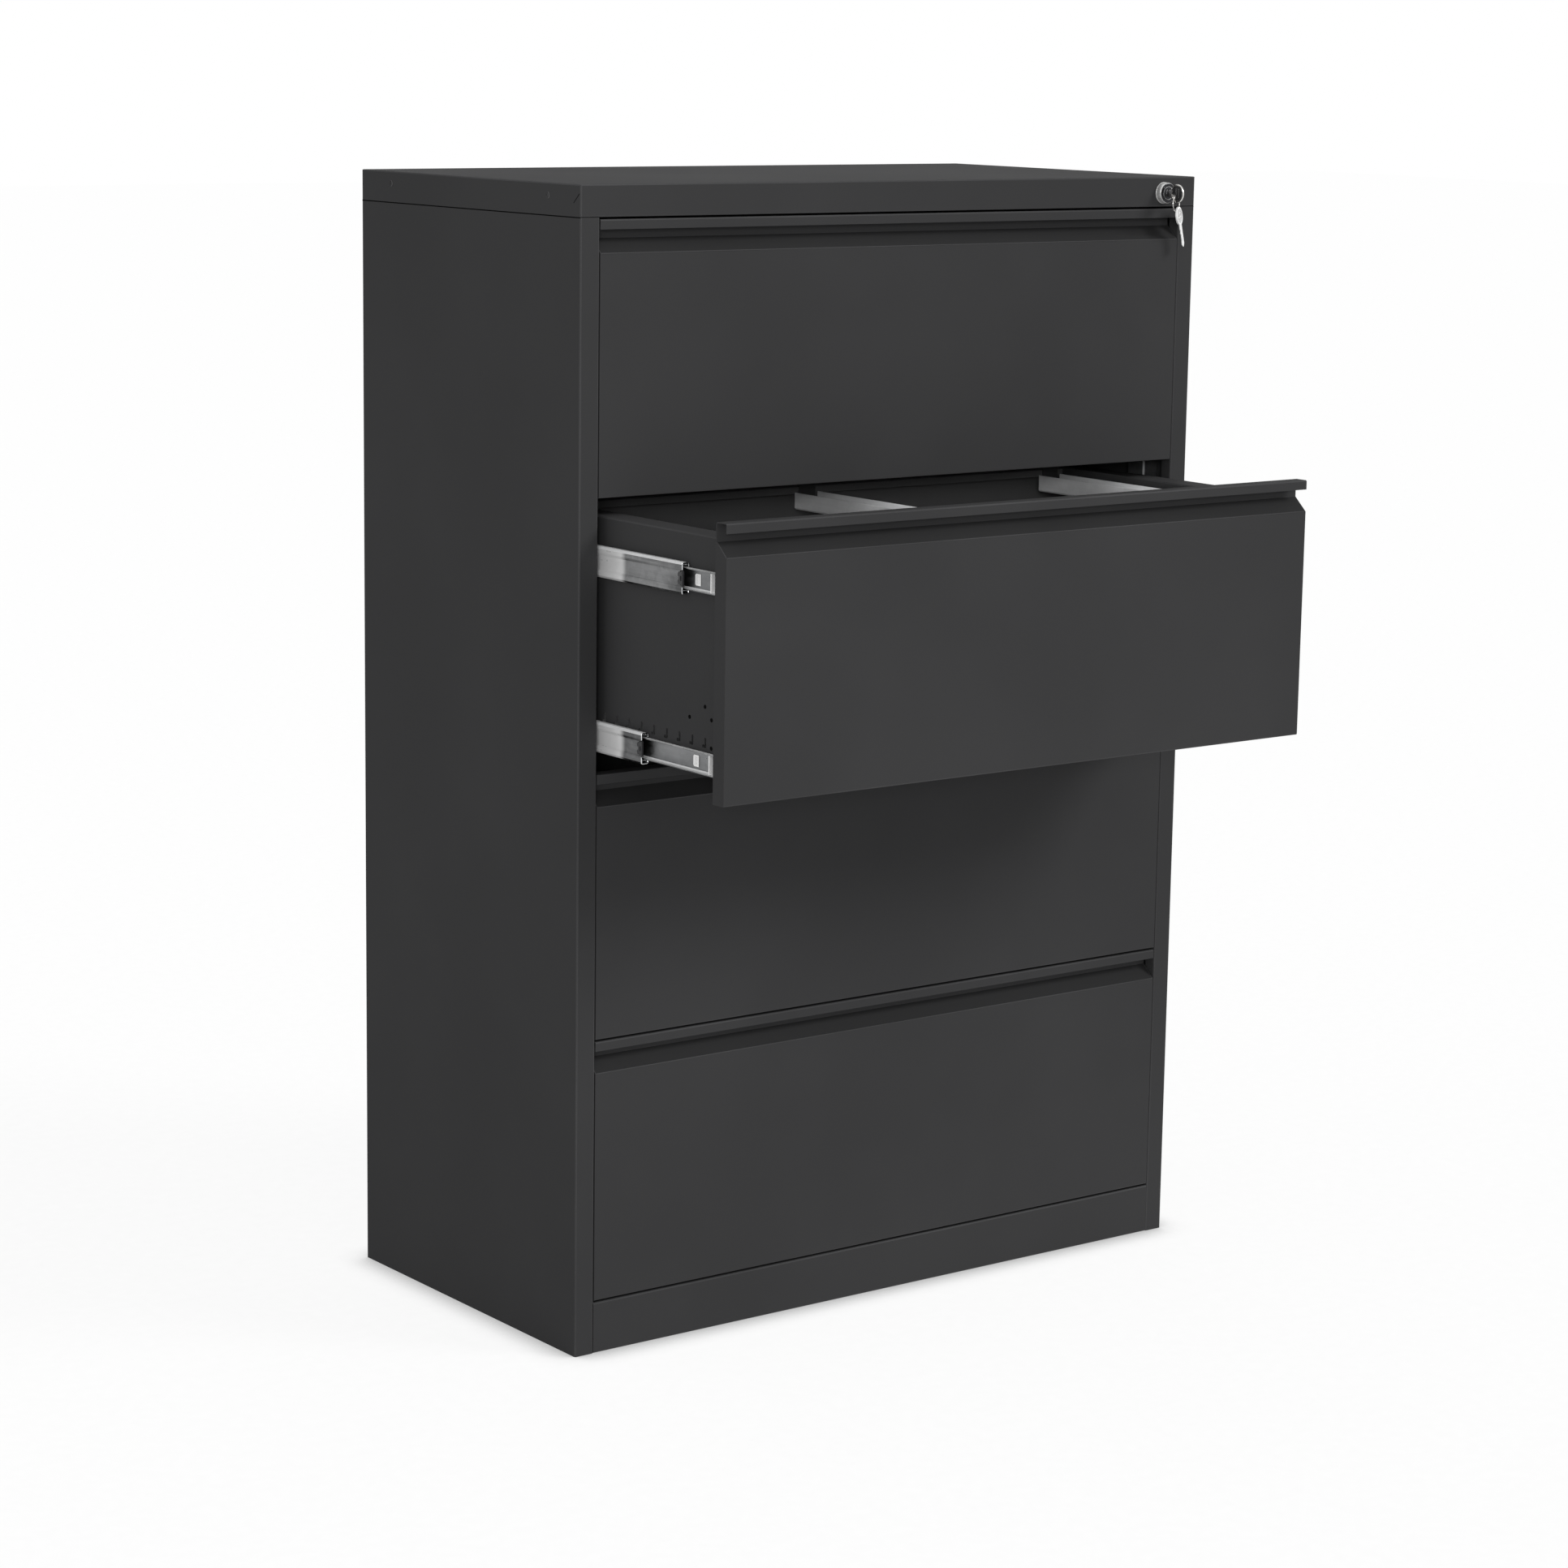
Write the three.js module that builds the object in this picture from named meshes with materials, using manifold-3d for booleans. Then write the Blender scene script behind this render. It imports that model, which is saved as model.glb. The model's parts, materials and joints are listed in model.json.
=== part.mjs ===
// Lateral filing cabinet: four wide drawers on telescopic ball slides, with one lock for all of them.
// Millimetres, +Z up, front facing -Y. The second drawer from the top stands partly open.
import * as THREE from 'three';
import { mergeVertices } from 'three/addons/utils/BufferGeometryUtils.js';
import Module from 'manifold-3d';

const wasm = await Module();
wasm.setup();

// Case of folded sheet steel
const caseWidth = 900;
const caseDepth = 460;
const caseHeight = 1330;
const sheet = 1;
const bendRadius = 0.6;
const bendSteps = 2;
const innerSteps = 1;
const stileWidth = 25;
const stileReturn = 16;
const topRailHeight = 35.5;
const bottomRailHeight = 60;
const railReturn = 14;
const backFlange = 15;
const floorFlange = 20;
const floorLap = 40;

// Joggled tongue behind the top panel's side lip, with the screws through the lip
const tongueInset = 40;
const tongueLap = 32;
const tongueRise = 24;
const joggle = 7;
const screwHole = 5;
const screwInset = 65;
const screwDrop = 14;

// Clearances
const seatGap = 0.3;
const weldLap = 0.2;
const runGap = 0.4;
const rowGap = 2.5;
const sideGap = 1.2;

// Drawers
const drawerCount = 4;
const openDrawer = 1;
const openTravel = 240;
const panDepth = 20;
const lipHeight = 11;
const gripDepth = 18;
const gripBack = 21;
const faceDrop = 37;
const trayDepth = 420;
const trayFloor = 27;
const trayDrop = 19;
const trayFlange = 34;
const trayLip = 10;
const trayFoot = 12;

// Rail that the file bars hang on at the front, and the bars
const hangerSheet = 1.2;
const hangerReach = 17;
const hangerLip = 8;
const hangerDrop = 4;
const barSheet = 1.2;
const barWidth = 35;
const barHeight = 20;
const barDrop = 8;
const barEdgeGap = 4;
const barSpacing = 381;
const hookWidth = 24;
const hookReach = 12;

// Slots along the foot of the drawer sides
const slotWidth = 3.2;
const slotHeight = 11;
const slotFoot = 4;
const slotPitch = 24;
const slotCount = 15;
const slotStart = 50;
const slotLevel = 61.5;

// Telescopic slides: u runs from the cabinet member's back towards the drawer
const slideSpace = 13;
const slideInset = 0.5;
const slideSheet = 1.2;
const slideBend = 1.4;
const slideBendSteps = 1;
const slideOverrun = 2;
const slideStart = 22;
const outerHeight = 45;
const outerDepth = 11;
const middleHeight = 35;
const middleStart = 2;
const middleDepth = 11.6;
const middleShort = 10;
const middleBead = 19;
const middleStep = 1.4;
const innerHeight = 24;
const innerStart = 5.5;
const upperSlide = 237.5;
const lowerSlide = 40;
const upperTravel = 179;
const lowerTravel = 105;
const detentLength = 9;
const detentHeight = 10;
const detentInset = 20;
const detentRise = 1;

// Uprights that carry the cabinet members
const postSheet = 1.2;
const postWidth = 30;
const postTip = 2.6;
const frontPost = 50;
const backPost = 350;
const postDrop = 40;
const hookDepth = 1.5;
const hookHeight = 24;
const hookInset = 6;

// Lock in the top rail's right end
const lockInset = 51;
const lockDrop = 19;
const barrelRadius = 12.5;
const barrelBody = 9.5;
const barrelFront = 9;
const barrelBack = 18;
const barrelChamfer = 1.5;
const nutRadius = 13;
const nutDepth = 5;
const plugRadius = 7.3;
const plugFront = 9.3;
const plugBack = 22;
const tailWidth = 5;
const tailLength = 3;
const camSheet = 2;
const camReach = 16;
const camWidth = 12;
const pinRadius = 2.5;
const pinLength = 6;
const lockTurn = 90;

// Lock bar behind the right stile, cut from flat strip
const lockBarSheet = 2;
const lockBarGap = 2;
const lockBarWidth = 8;
const lockBarInset = 4;
const lockBarFoot = 150;
const headWall = 2;
const tabReach = 23.5;
const tabHeight = 8;
const catchLevel = 150;
const catchHeight = 12;
const catchGap = 1.2;
const catchReach = 11.5;
const guideWidth = 7;
const guideHeight = 16;
const guideLevel = 90;

// Key and its ring
const keySheet = 2;
const bladeWidth = 8;
const bladeReach = 22;
const bladeShoulder = 4.5;
const bowRadius = 11;
const bowHole = 2.2;
const bowHoleAlong = 5;
const bowHoleDrop = 4;
const ringRadius = 6;
const ringWire = 0.8;

// Steps around the round forms
const arcSteps = 10;
const latheSides = 24;
const pinSides = 20;
const holeSides = 32;
const ringSides = 24;
const wireSides = 6;

const halfWidth = caseWidth / 2;
const railLine = caseHeight - topRailHeight;
const stileInner = halfWidth - stileWidth;
const panelInner = halfWidth - sheet - seatGap;
const backPlane = caseDepth - sheet - seatGap;
const rowPitch = (caseHeight - topRailHeight - bottomRailHeight - rowGap) / drawerCount;
const frontHeight = rowPitch - rowGap;
const frontHalf = stileInner - sideGap;
const railPlane = stileInner - slideInset;
const trayHalf = railPlane - slideSpace;
const trayInner = trayHalf - sheet - seatGap;
const trayTop = frontHeight - trayDrop;
const hangerHalf = trayHalf - trayFlange - runGap;
const trayEnd = trayDepth - sheet - seatGap;
const slideLength = trayDepth + slideOverrun - slideStart;
const middleLength = slideLength - middleShort;
const rightBar = hangerHalf - barEdgeGap - barWidth / 2;
const barPlaces = [rightBar - barSpacing, rightBar];
const hangerBack = gripDepth + sheet - weldLap + hangerReach + hangerSheet;
const lockX = halfWidth - lockInset;
const lockZ = caseHeight - lockDrop;
const camPlane = plugBack + seatGap;
const lockBarPlane = camPlane + camSheet + lockBarGap;
const camRise = camReach * Math.sin(THREE.MathUtils.degToRad(lockTurn / 2));
const lockBarTravel = 2 * camRise;

const finishes = {
  paint: { color: 0x3b3b3b, roughness: 0.55, metalness: 0.15 },
  zinc: { color: 0xa4a6a8, roughness: 0.38, metalness: 0.9 },
  chrome: { color: 0xd4d6d8, roughness: 0.16, metalness: 1 },
  nickel: { color: 0xb9b6ae, roughness: 0.28, metalness: 1 },
};

const axisX = new THREE.Vector3(1, 0, 0);
const axisY = new THREE.Vector3(0, 1, 0);
const axisZ = new THREE.Vector3(0, 0, 1);

// A closed geometry as a solid that can be joined and cut
function solidOf(geometry) {
  geometry.deleteAttribute('normal');
  geometry.deleteAttribute('uv');
  const merged = mergeVertices(geometry, 1e-4);
  const mesh = new wasm.Mesh({
    numProp: 3,
    vertProperties: merged.attributes.position.array,
    triVerts: new Uint32Array(merged.index.array),
  });
  return new wasm.Manifold(mesh);
}

function join(solids) {
  return solids.reduce((whole, solid) => whole.add(solid));
}

function cut(solid, tools) {
  return tools.reduce((rest, tool) => rest.subtract(tool), solid);
}

function extrude(outline, axisU, axisV, start, length) {
  const settings = { depth: length, bevelEnabled: false, curveSegments: arcSteps };
  const geometry = new THREE.ExtrudeGeometry(outline, settings);
  const axisW = new THREE.Vector3().crossVectors(axisU, axisV);
  geometry.applyMatrix4(new THREE.Matrix4().makeBasis(axisU, axisV, axisW).setPosition(start));
  return solidOf(geometry);
}

// Outlines drawn in (y, z), (x, z) and (x, y), extruded between two places on the third axis
function alongX(outline, from, to) {
  return extrude(outline, axisY, axisZ, new THREE.Vector3(from, 0, 0), to - from);
}

function alongY(outline, from, to) {
  return extrude(outline, axisX, axisZ, new THREE.Vector3(0, to, 0), to - from);
}

function alongZ(outline, from, to) {
  return extrude(outline, axisX, axisY, new THREE.Vector3(0, 0, from), to - from);
}

function polygon(points) {
  return new THREE.Shape(points.map(([u, v]) => new THREE.Vector2(u, v)));
}

// A rounded corner between two runs: its middle, the side it bends to, and unit spokes from run to run
function corner(point, before, after, radius, steps) {
  const turn = Math.atan2(before.cross(after), before.dot(after));
  const inward = Math.sign(turn);
  const outwards = new THREE.Vector2(before.y, -before.x).multiplyScalar(inward);
  const middle = point.clone().addScaledVector(before, -radius * Math.tan(Math.abs(turn) / 2));
  middle.addScaledVector(outwards, -radius);
  const spokes = [];
  for (let k = 0; k <= steps; k += 1) {
    spokes.push(outwards.clone().rotateAround(new THREE.Vector2(), (turn * k) / steps));
  }
  return { middle, inward, spokes };
}

// Outline of sheet metal bent along a line, with its thickness on the left of the line (right if negative)
function bentSheet(line, thickness, bend = bendRadius, steps = bendSteps) {
  const points = line.map(([u, v]) => new THREE.Vector2(u, v));
  const runs = points.slice(1).map((point, i) => point.clone().sub(points[i]).normalize());
  const near = [];
  const far = [];
  points.forEach((point, i) => {
    const before = runs[i - 1];
    const after = runs[i];
    if (!before || !after) {
      const run = before || after;
      near.push(point);
      far.push(new THREE.Vector2(-run.y, run.x).multiplyScalar(thickness).add(point));
      return;
    }
    const inside = before.cross(after) * thickness > 0;
    const radius = inside ? bend + Math.abs(thickness) : bend;
    const { middle, inward, spokes } = corner(point, before, after, radius, steps);
    spokes.forEach((spoke) => {
      near.push(middle.clone().addScaledVector(spoke, radius));
      far.push(middle.clone().addScaledVector(spoke, radius - inward * thickness));
    });
  });
  return new THREE.Shape([...near, ...far.reverse()]);
}

// Closed outline whose listed corners are rounded to the outside of a bend in the case sheet
function roundedOutline(points, corners) {
  const places = points.map(([u, v]) => new THREE.Vector2(u, v));
  const rounded = places.flatMap((place, i) => {
    if (!corners.includes(i)) return [place];
    const before = place.clone().sub(places.at(i - 1)).normalize();
    const after = places[(i + 1) % places.length].clone().sub(place).normalize();
    const radius = bendRadius + sheet;
    const { middle, spokes } = corner(place, before, after, radius, bendSteps);
    return spokes.map((spoke) => middle.clone().addScaledVector(spoke, radius));
  });
  return new THREE.Shape(rounded);
}

function mirrored(line, side) {
  return line.map(([u, v]) => [side * u, v]);
}

function block(x, y, z) {
  const geometry = new THREE.BoxGeometry(x[1] - x[0], y[1] - y[0], z[1] - z[0]);
  geometry.translate((x[0] + x[1]) / 2, (y[0] + y[1]) / 2, (z[0] + z[1]) / 2);
  return solidOf(geometry);
}

function sided(side, near, far) {
  return side > 0 ? [near, far] : [-far, -near];
}

function rodAlongY(radius, from, to, x, z, sides) {
  const geometry = new THREE.CylinderGeometry(radius, radius, to - from, sides);
  geometry.translate(x, (from + to) / 2, z);
  return solidOf(geometry);
}

function piece(name, solid, finish) {
  const { vertProperties, triVerts } = solid.getMesh();
  const geometry = new THREE.BufferGeometry();
  geometry.setAttribute('position', new THREE.BufferAttribute(vertProperties, 3));
  geometry.setIndex(new THREE.BufferAttribute(triVerts, 1));
  const material = new THREE.MeshStandardMaterial({ ...finish, flatShading: true });
  const mesh = new THREE.Mesh(geometry, material);
  mesh.name = name;
  return mesh;
}

// Case

function sidePanel(side) {
  const plan = [
    [stileInner, stileReturn],
    [stileInner, 0],
    [halfWidth, 0],
    [halfWidth, caseDepth],
    [halfWidth - backFlange, caseDepth],
  ];
  const wall = alongZ(bentSheet(mirrored(plan, side), side * sheet), 0, railLine - seatGap);
  const tongueLine = [
    [halfWidth - sheet + weldLap, railLine - tongueLap],
    [halfWidth - sheet + weldLap, railLine - joggle],
    [panelInner, railLine - seatGap],
    [panelInner, railLine + tongueRise],
  ];
  const tongue = bentSheet(mirrored(tongueLine, side), side * sheet);
  return join([wall, alongY(tongue, tongueInset, caseDepth - tongueInset)]);
}

function rectangle(u, v) {
  return [[u[0], v[0]], [u[1], v[0]], [u[1], v[1]], [u[0], v[1]]];
}

// Shallow pressed lid with rounded edges, open below, and a return along the front rail's foot
function topPanel() {
  const across = [-halfWidth, halfWidth];
  const along = [0, caseDepth];
  const height = [railLine, caseHeight];
  const outside = alongX(roundedOutline(rectangle(along, height), [0, 2, 3]), ...across)
    .intersect(alongY(roundedOutline(rectangle(across, height), [2, 3]), ...along))
    .intersect(alongZ(roundedOutline(rectangle(across, along), [0, 1, 2, 3]), ...height));
  const inside = block(
    [-halfWidth + sheet, halfWidth - sheet],
    [sheet, caseDepth - sheet],
    [railLine - sheet, caseHeight - sheet],
  );
  const rail = block(
    [-stileInner, stileInner],
    [sheet - weldLap, railReturn],
    [railLine, railLine + sheet],
  );
  const lockHole = rodAlongY(barrelBody + seatGap, -sheet, 2 * sheet, lockX, lockZ, holeSides);
  const screwPlaces = [screwInset, caseDepth - screwInset];
  const screwHoles = screwPlaces.flatMap((place) => {
    const outline = new THREE.Shape().absarc(place, caseHeight - screwDrop, screwHole / 2, 0, 2 * Math.PI);
    return [
      alongX(outline, -halfWidth - sheet, -halfWidth + 2 * sheet),
      alongX(outline, halfWidth - 2 * sheet, halfWidth + sheet),
    ];
  });
  return cut(join([cut(outside, [inside]), rail]), [lockHole, ...screwHoles]);
}

function basePan() {
  const railLineUp = [
    [railReturn, bottomRailHeight],
    [0, bottomRailHeight],
    [0, 0],
    [floorLap, 0],
  ];
  const floorLine = [
    [-panelInner, floorFlange],
    [-panelInner, 0],
    [panelInner, 0],
    [panelInner, floorFlange],
  ];
  return join([
    alongX(bentSheet(railLineUp, sheet), -stileInner + seatGap, stileInner - seatGap),
    alongY(bentSheet(floorLine, sheet), stileReturn + seatGap, backPlane),
    block([-panelInner, panelInner], [backPlane - sheet, backPlane], [0, floorFlange]),
  ]);
}

function backPanel() {
  const plan = [
    [-panelInner, backPlane - backFlange],
    [-panelInner, backPlane],
    [panelInner, backPlane],
    [panelInner, backPlane - backFlange],
  ];
  return alongZ(bentSheet(plan, -sheet), floorFlange + seatGap, caseHeight - sheet - seatGap);
}

// Height of a drawer's foot above the floor, counted from the top drawer
function drawerFoot(row) {
  return railLine - (row + 1) * rowPitch;
}

// Slides

// A slide member's outline from the upper half of its line, in depth u and height v about its middle
function memberOutline(upperHalf, side, level, thickness) {
  const lowerHalf = upperHalf.map(([u, v]) => [u, -v]).reverse();
  const line = [...upperHalf, ...lowerHalf].map(([u, v]) => [side * (railPlane - u), level + v]);
  return bentSheet(line, side * thickness, slideBend, slideBendSteps);
}

function outerMember(side, level) {
  const upperHalf = [
    [outerDepth, middleHeight / 2 + runGap],
    [outerDepth, outerHeight / 2],
    [0, outerHeight / 2],
  ];
  return alongY(memberOutline(upperHalf, side, level, -slideSheet), slideStart, slideStart + slideLength);
}

function middleMember(side, level, travel) {
  const upperHalf = [
    [middleDepth, innerHeight / 2 + runGap],
    [middleDepth, middleHeight / 2],
    [middleStart, middleHeight / 2],
    [middleStart, middleBead / 2],
    [middleStart + middleStep, middleBead / 2 - middleStep],
  ];
  const outline = memberOutline(upperHalf, side, level, -slideSheet);
  return alongY(outline, slideStart - travel, slideStart - travel + middleLength);
}

// Drawer member: a channel open to the cabinet, with a turned front end and a raised detent
function innerMember(side, level) {
  const upperHalf = [
    [innerStart, innerHeight / 2],
    [slideSpace + weldLap, innerHeight / 2],
  ];
  const channel = alongY(memberOutline(upperHalf, side, level, slideSheet), panDepth + sheet, trayEnd);
  const across = sided(side, trayHalf - weldLap, railPlane - innerStart);
  const height = [level - innerHeight / 2, level + innerHeight / 2];
  const end = block(across, [panDepth + sheet, panDepth + sheet + slideSheet], height);
  const web = trayHalf + slideSheet;
  const detentFrom = panDepth + detentInset;
  const detent = block(
    sided(side, web - weldLap * 2, web + detentRise),
    [detentFrom, detentFrom + detentLength],
    [level - detentHeight / 2, level + detentHeight / 2],
  );
  return join([channel, end, detent]);
}

function slideRack(side) {
  const web = railPlane + hookDepth;
  const tip = halfWidth - postTip;
  const posts = [frontPost, backPost].map((place) => {
    const plan = [
      [tip, place],
      [web, place],
      [web, place + postWidth],
      [tip, place + postWidth],
    ];
    return alongZ(
      bentSheet(mirrored(plan, side), -side * postSheet, bendRadius, innerSteps),
      sheet + seatGap,
      caseHeight - postDrop,
    );
  });
  const members = [];
  for (let row = 0; row < drawerCount; row += 1) {
    [upperSlide, lowerSlide].forEach((rise) => {
      const level = drawerFoot(row) + rise;
      members.push(outerMember(side, level));
      [frontPost, backPost].forEach((place) => {
        const across = sided(side, railPlane - weldLap, web + weldLap);
        const along = [place + hookInset, place + postWidth - hookInset];
        members.push(block(across, along, [level - hookHeight / 2, level + hookHeight / 2]));
      });
    });
  }
  return join([...posts, ...members]);
}

// Fingers on the right front upright that keep the lock bar upright
function lockGuides() {
  const middle = halfWidth - lockBarInset - lockBarWidth / 2;
  const across = [middle - guideWidth / 2, middle + guideWidth / 2];
  const along = [lockBarPlane + lockBarSheet + seatGap, frontPost + weldLap];
  const guides = [];
  for (let row = 0; row < drawerCount; row += 1) {
    const level = drawerFoot(row) + guideLevel;
    guides.push(block(across, along, [level, level + guideHeight]));
  }
  return guides;
}

// Drawers, drawn with the face on y = 0 and the front's foot on z = 0

function drawerFront() {
  const top = frontHeight;
  const foldLine = [
    [panDepth, 0],
    [0, 0],
    [0, top - faceDrop],
    [gripDepth, top - gripBack],
    [gripDepth, top - sheet],
    [sheet, top - sheet],
    [sheet, top - lipHeight],
  ];
  const endLine = [
    [0, 0],
    [panDepth, 0],
    [panDepth, top - gripBack],
    [gripDepth, top - gripBack],
    [0, top - faceDrop],
  ];
  const endOutline = roundedOutline(endLine, [0, 4]);
  const hangerFront = gripDepth + sheet - weldLap;
  const hangerLine = [
    [hangerFront, top - hangerDrop],
    [hangerFront, trayTop - hangerSheet],
    [hangerFront + hangerReach, trayTop - hangerSheet],
    [hangerFront + hangerReach, trayTop - hangerSheet - hangerLip],
  ];
  return join([
    alongX(bentSheet(foldLine, -sheet), -frontHalf, frontHalf),
    alongX(endOutline, -frontHalf, -frontHalf + sheet),
    alongX(endOutline, frontHalf - sheet, frontHalf),
    alongX(bentSheet(hangerLine, hangerSheet), -hangerHalf, hangerHalf),
  ]);
}

// L-shaped slots along the foot of a drawer side
function sideSlots(side) {
  const across = sided(side, trayHalf - 2 * sheet, trayHalf + sheet);
  const slots = [];
  for (let i = 0; i < slotCount; i += 1) {
    const place = slotStart + i * slotPitch;
    const outline = polygon([
      [place, slotLevel - slotHeight / 2],
      [place + slotWidth + slotFoot, slotLevel - slotHeight / 2],
      [place + slotWidth + slotFoot, slotLevel - slotHeight / 2 + slotWidth],
      [place + slotWidth, slotLevel - slotHeight / 2 + slotWidth],
      [place + slotWidth, slotLevel + slotHeight / 2],
      [place, slotLevel + slotHeight / 2],
    ]);
    slots.push(alongX(outline, across[0], across[1]));
  }
  return slots;
}

function drawerSide(side) {
  const line = [
    [trayHalf - trayFoot, trayFloor],
    [trayHalf, trayFloor],
    [trayHalf, trayTop],
    [trayHalf - trayFlange, trayTop],
    [trayHalf - trayFlange, trayTop - trayLip],
  ];
  const front = gripDepth + sheet + seatGap;
  const outline = bentSheet(mirrored(line, side), side * sheet, bendRadius, innerSteps);
  const wall = alongY(outline, front, trayEnd);
  const whole = [cut(wall, sideSlots(side)), innerMember(side, upperSlide), innerMember(side, lowerSlide)];
  if (side > 0) {
    const catchFrom = lockBarPlane + lockBarSheet + catchGap;
    const across = [trayHalf - weldLap, trayHalf + catchReach];
    const height = [catchLevel - catchHeight / 2, catchLevel + catchHeight / 2];
    whole.push(block(across, [catchFrom, catchFrom + lockBarSheet], height));
  }
  return join(whole);
}

function drawerBottom() {
  const level = trayFloor + sheet + seatGap;
  const along = [sheet + seatGap, trayEnd];
  return block([-trayInner, trayInner], along, [level, level + sheet]);
}

function drawerBack() {
  const foot = trayFloor + 2 * (sheet + seatGap);
  const wall = block([-trayHalf, trayHalf], [trayDepth - sheet, trayDepth], [trayFloor, trayTop]);
  const footLine = [
    [trayDepth - trayFoot, foot],
    [trayDepth, foot],
    [trayDepth, foot + trayFoot],
  ];
  const flangeLine = [
    [trayDepth, trayTop - trayLip],
    [trayDepth, trayTop],
    [trayDepth - trayFlange, trayTop],
    [trayDepth - trayFlange, trayTop - trayLip],
  ];
  return join([
    wall,
    alongX(bentSheet(footLine, sheet, bendRadius, innerSteps), -trayInner, trayInner),
    alongX(bentSheet(flangeLine, sheet, bendRadius, innerSteps), -hangerHalf, hangerHalf),
  ]);
}

// Trough with a hook at each end, hung between the front rail and the back flange
function fileBar(place) {
  const top = trayTop - barDrop;
  const foot = top - barHeight;
  const half = barWidth / 2;
  const troughLine = [
    [place - half, top],
    [place - half, foot],
    [place + half, foot],
    [place + half, top],
  ];
  const front = hangerBack + seatGap;
  const back = trayDepth - trayFlange - seatGap;
  const hookLevel = trayTop + seatGap;
  const frontHook = [
    [front, foot],
    [front, hookLevel],
    [front - hookReach, hookLevel],
  ];
  const backHook = [
    [back, foot],
    [back, hookLevel],
    [back + hookReach, hookLevel],
  ];
  const hookSides = [place - hookWidth / 2, place + hookWidth / 2];
  return join([
    alongY(bentSheet(troughLine, barSheet, bendRadius, innerSteps), front, back),
    alongX(bentSheet(frontHook, -barSheet, bendRadius, innerSteps), ...hookSides),
    alongX(bentSheet(backHook, barSheet, bendRadius, innerSteps), ...hookSides),
  ]);
}

// Lock, drawn with its axis along Y through the origin

function lockBarrel() {
  const bore = plugRadius + seatGap;
  const neck = sheet + seatGap;
  const profile = [
    [bore, -barrelFront],
    [barrelRadius - barrelChamfer, -barrelFront],
    [barrelRadius, -barrelFront + barrelChamfer],
    [barrelRadius, -seatGap],
    [barrelBody, -seatGap],
    [barrelBody, neck],
    [nutRadius, neck],
    [nutRadius, neck + nutDepth],
    [barrelBody, neck + nutDepth],
    [barrelBody, barrelBack],
    [bore, barrelBack],
    [bore, -barrelFront],
  ];
  return solidOf(new THREE.LatheGeometry(profile.map(([r, y]) => new THREE.Vector2(r, y)), latheSides));
}

function lockPlug() {
  const profile = [
    [0, -plugFront],
    [plugRadius, -plugFront],
    [plugRadius, plugBack],
    [0, plugBack],
  ];
  const body = solidOf(new THREE.LatheGeometry(profile.map(([r, y]) => new THREE.Vector2(r, y)), latheSides));
  const halfTail = tailWidth / 2;
  const tailEnd = plugBack + seatGap + tailLength;
  const tail = block([-halfTail, halfTail], [plugBack - weldLap, tailEnd], [-halfTail, halfTail]);
  const slotHalf = keySheet / 2 + seatGap;
  const slotReach = bladeWidth / 2 + seatGap;
  const slotEnd = bladeReach - plugFront + seatGap;
  const keySlot = block([-slotHalf, slotHalf], [-plugFront - sheet, slotEnd], [-slotReach, slotReach]);
  return cut(join([body, tail]), [keySlot]);
}

// Flat arm on the plug's square tail, with the pin that lifts the lock bar
function lockCam() {
  const angle = THREE.MathUtils.degToRad(-lockTurn / 2);
  const pinX = camReach * Math.cos(angle);
  const pinZ = camReach * Math.sin(angle);
  const half = camWidth / 2;
  const arm = new THREE.Shape();
  arm.absarc(0, 0, half, angle + Math.PI / 2, angle + 3 * Math.PI / 2);
  arm.absarc(pinX, pinZ, half, angle - Math.PI / 2, angle + Math.PI / 2);
  const hole = tailWidth / 2 + seatGap;
  arm.holes.push(polygon([[-hole, -hole], [hole, -hole], [hole, hole], [-hole, hole]]));
  const plate = alongY(arm, camPlane, camPlane + camSheet);
  const pinFoot = camPlane + camSheet;
  const pin = rodAlongY(pinRadius, pinFoot - weldLap, pinFoot + pinLength, pinX, pinZ, pinSides);
  return join([plate, pin]);
}

// Flat strip with a slotted head for the cam's pin and a tab for each drawer
function lockBar() {
  const edge = halfWidth - lockBarInset;
  const inner = edge - lockBarWidth;
  const pinLow = lockZ - camRise;
  const slotHalf = pinRadius + runGap * 2;
  const pinNear = camReach * Math.cos(THREE.MathUtils.degToRad(lockTurn / 2));
  const slotLeft = lockX + pinNear - pinRadius - runGap * 2;
  const slotRight = lockX + camReach + pinRadius + runGap * 2;
  const headTop = pinLow + slotHalf + headWall;
  const headFoot = pinLow - slotHalf - headWall;
  const headLeft = slotLeft - headWall;
  const strip = [
    [edge, lockBarFoot],
    [edge, headTop],
    [headLeft, headTop],
    [headLeft, headFoot],
    [inner, headFoot],
  ];
  for (let row = 0; row < drawerCount; row += 1) {
    const level = drawerFoot(row) + catchLevel - lockBarTravel;
    strip.push([inner, level + tabHeight / 2]);
    strip.push([inner - tabReach, level + tabHeight / 2]);
    strip.push([inner - tabReach, level - tabHeight / 2]);
    strip.push([inner, level - tabHeight / 2]);
  }
  strip.push([inner, lockBarFoot]);
  const outline = polygon(strip);
  outline.holes.push(polygon([
    [slotLeft, pinLow - slotHalf],
    [slotRight, pinLow - slotHalf],
    [slotRight, pinLow + slotHalf],
    [slotLeft, pinLow + slotHalf],
  ]));
  return alongY(outline, lockBarPlane, lockBarPlane + lockBarSheet);
}

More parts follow.
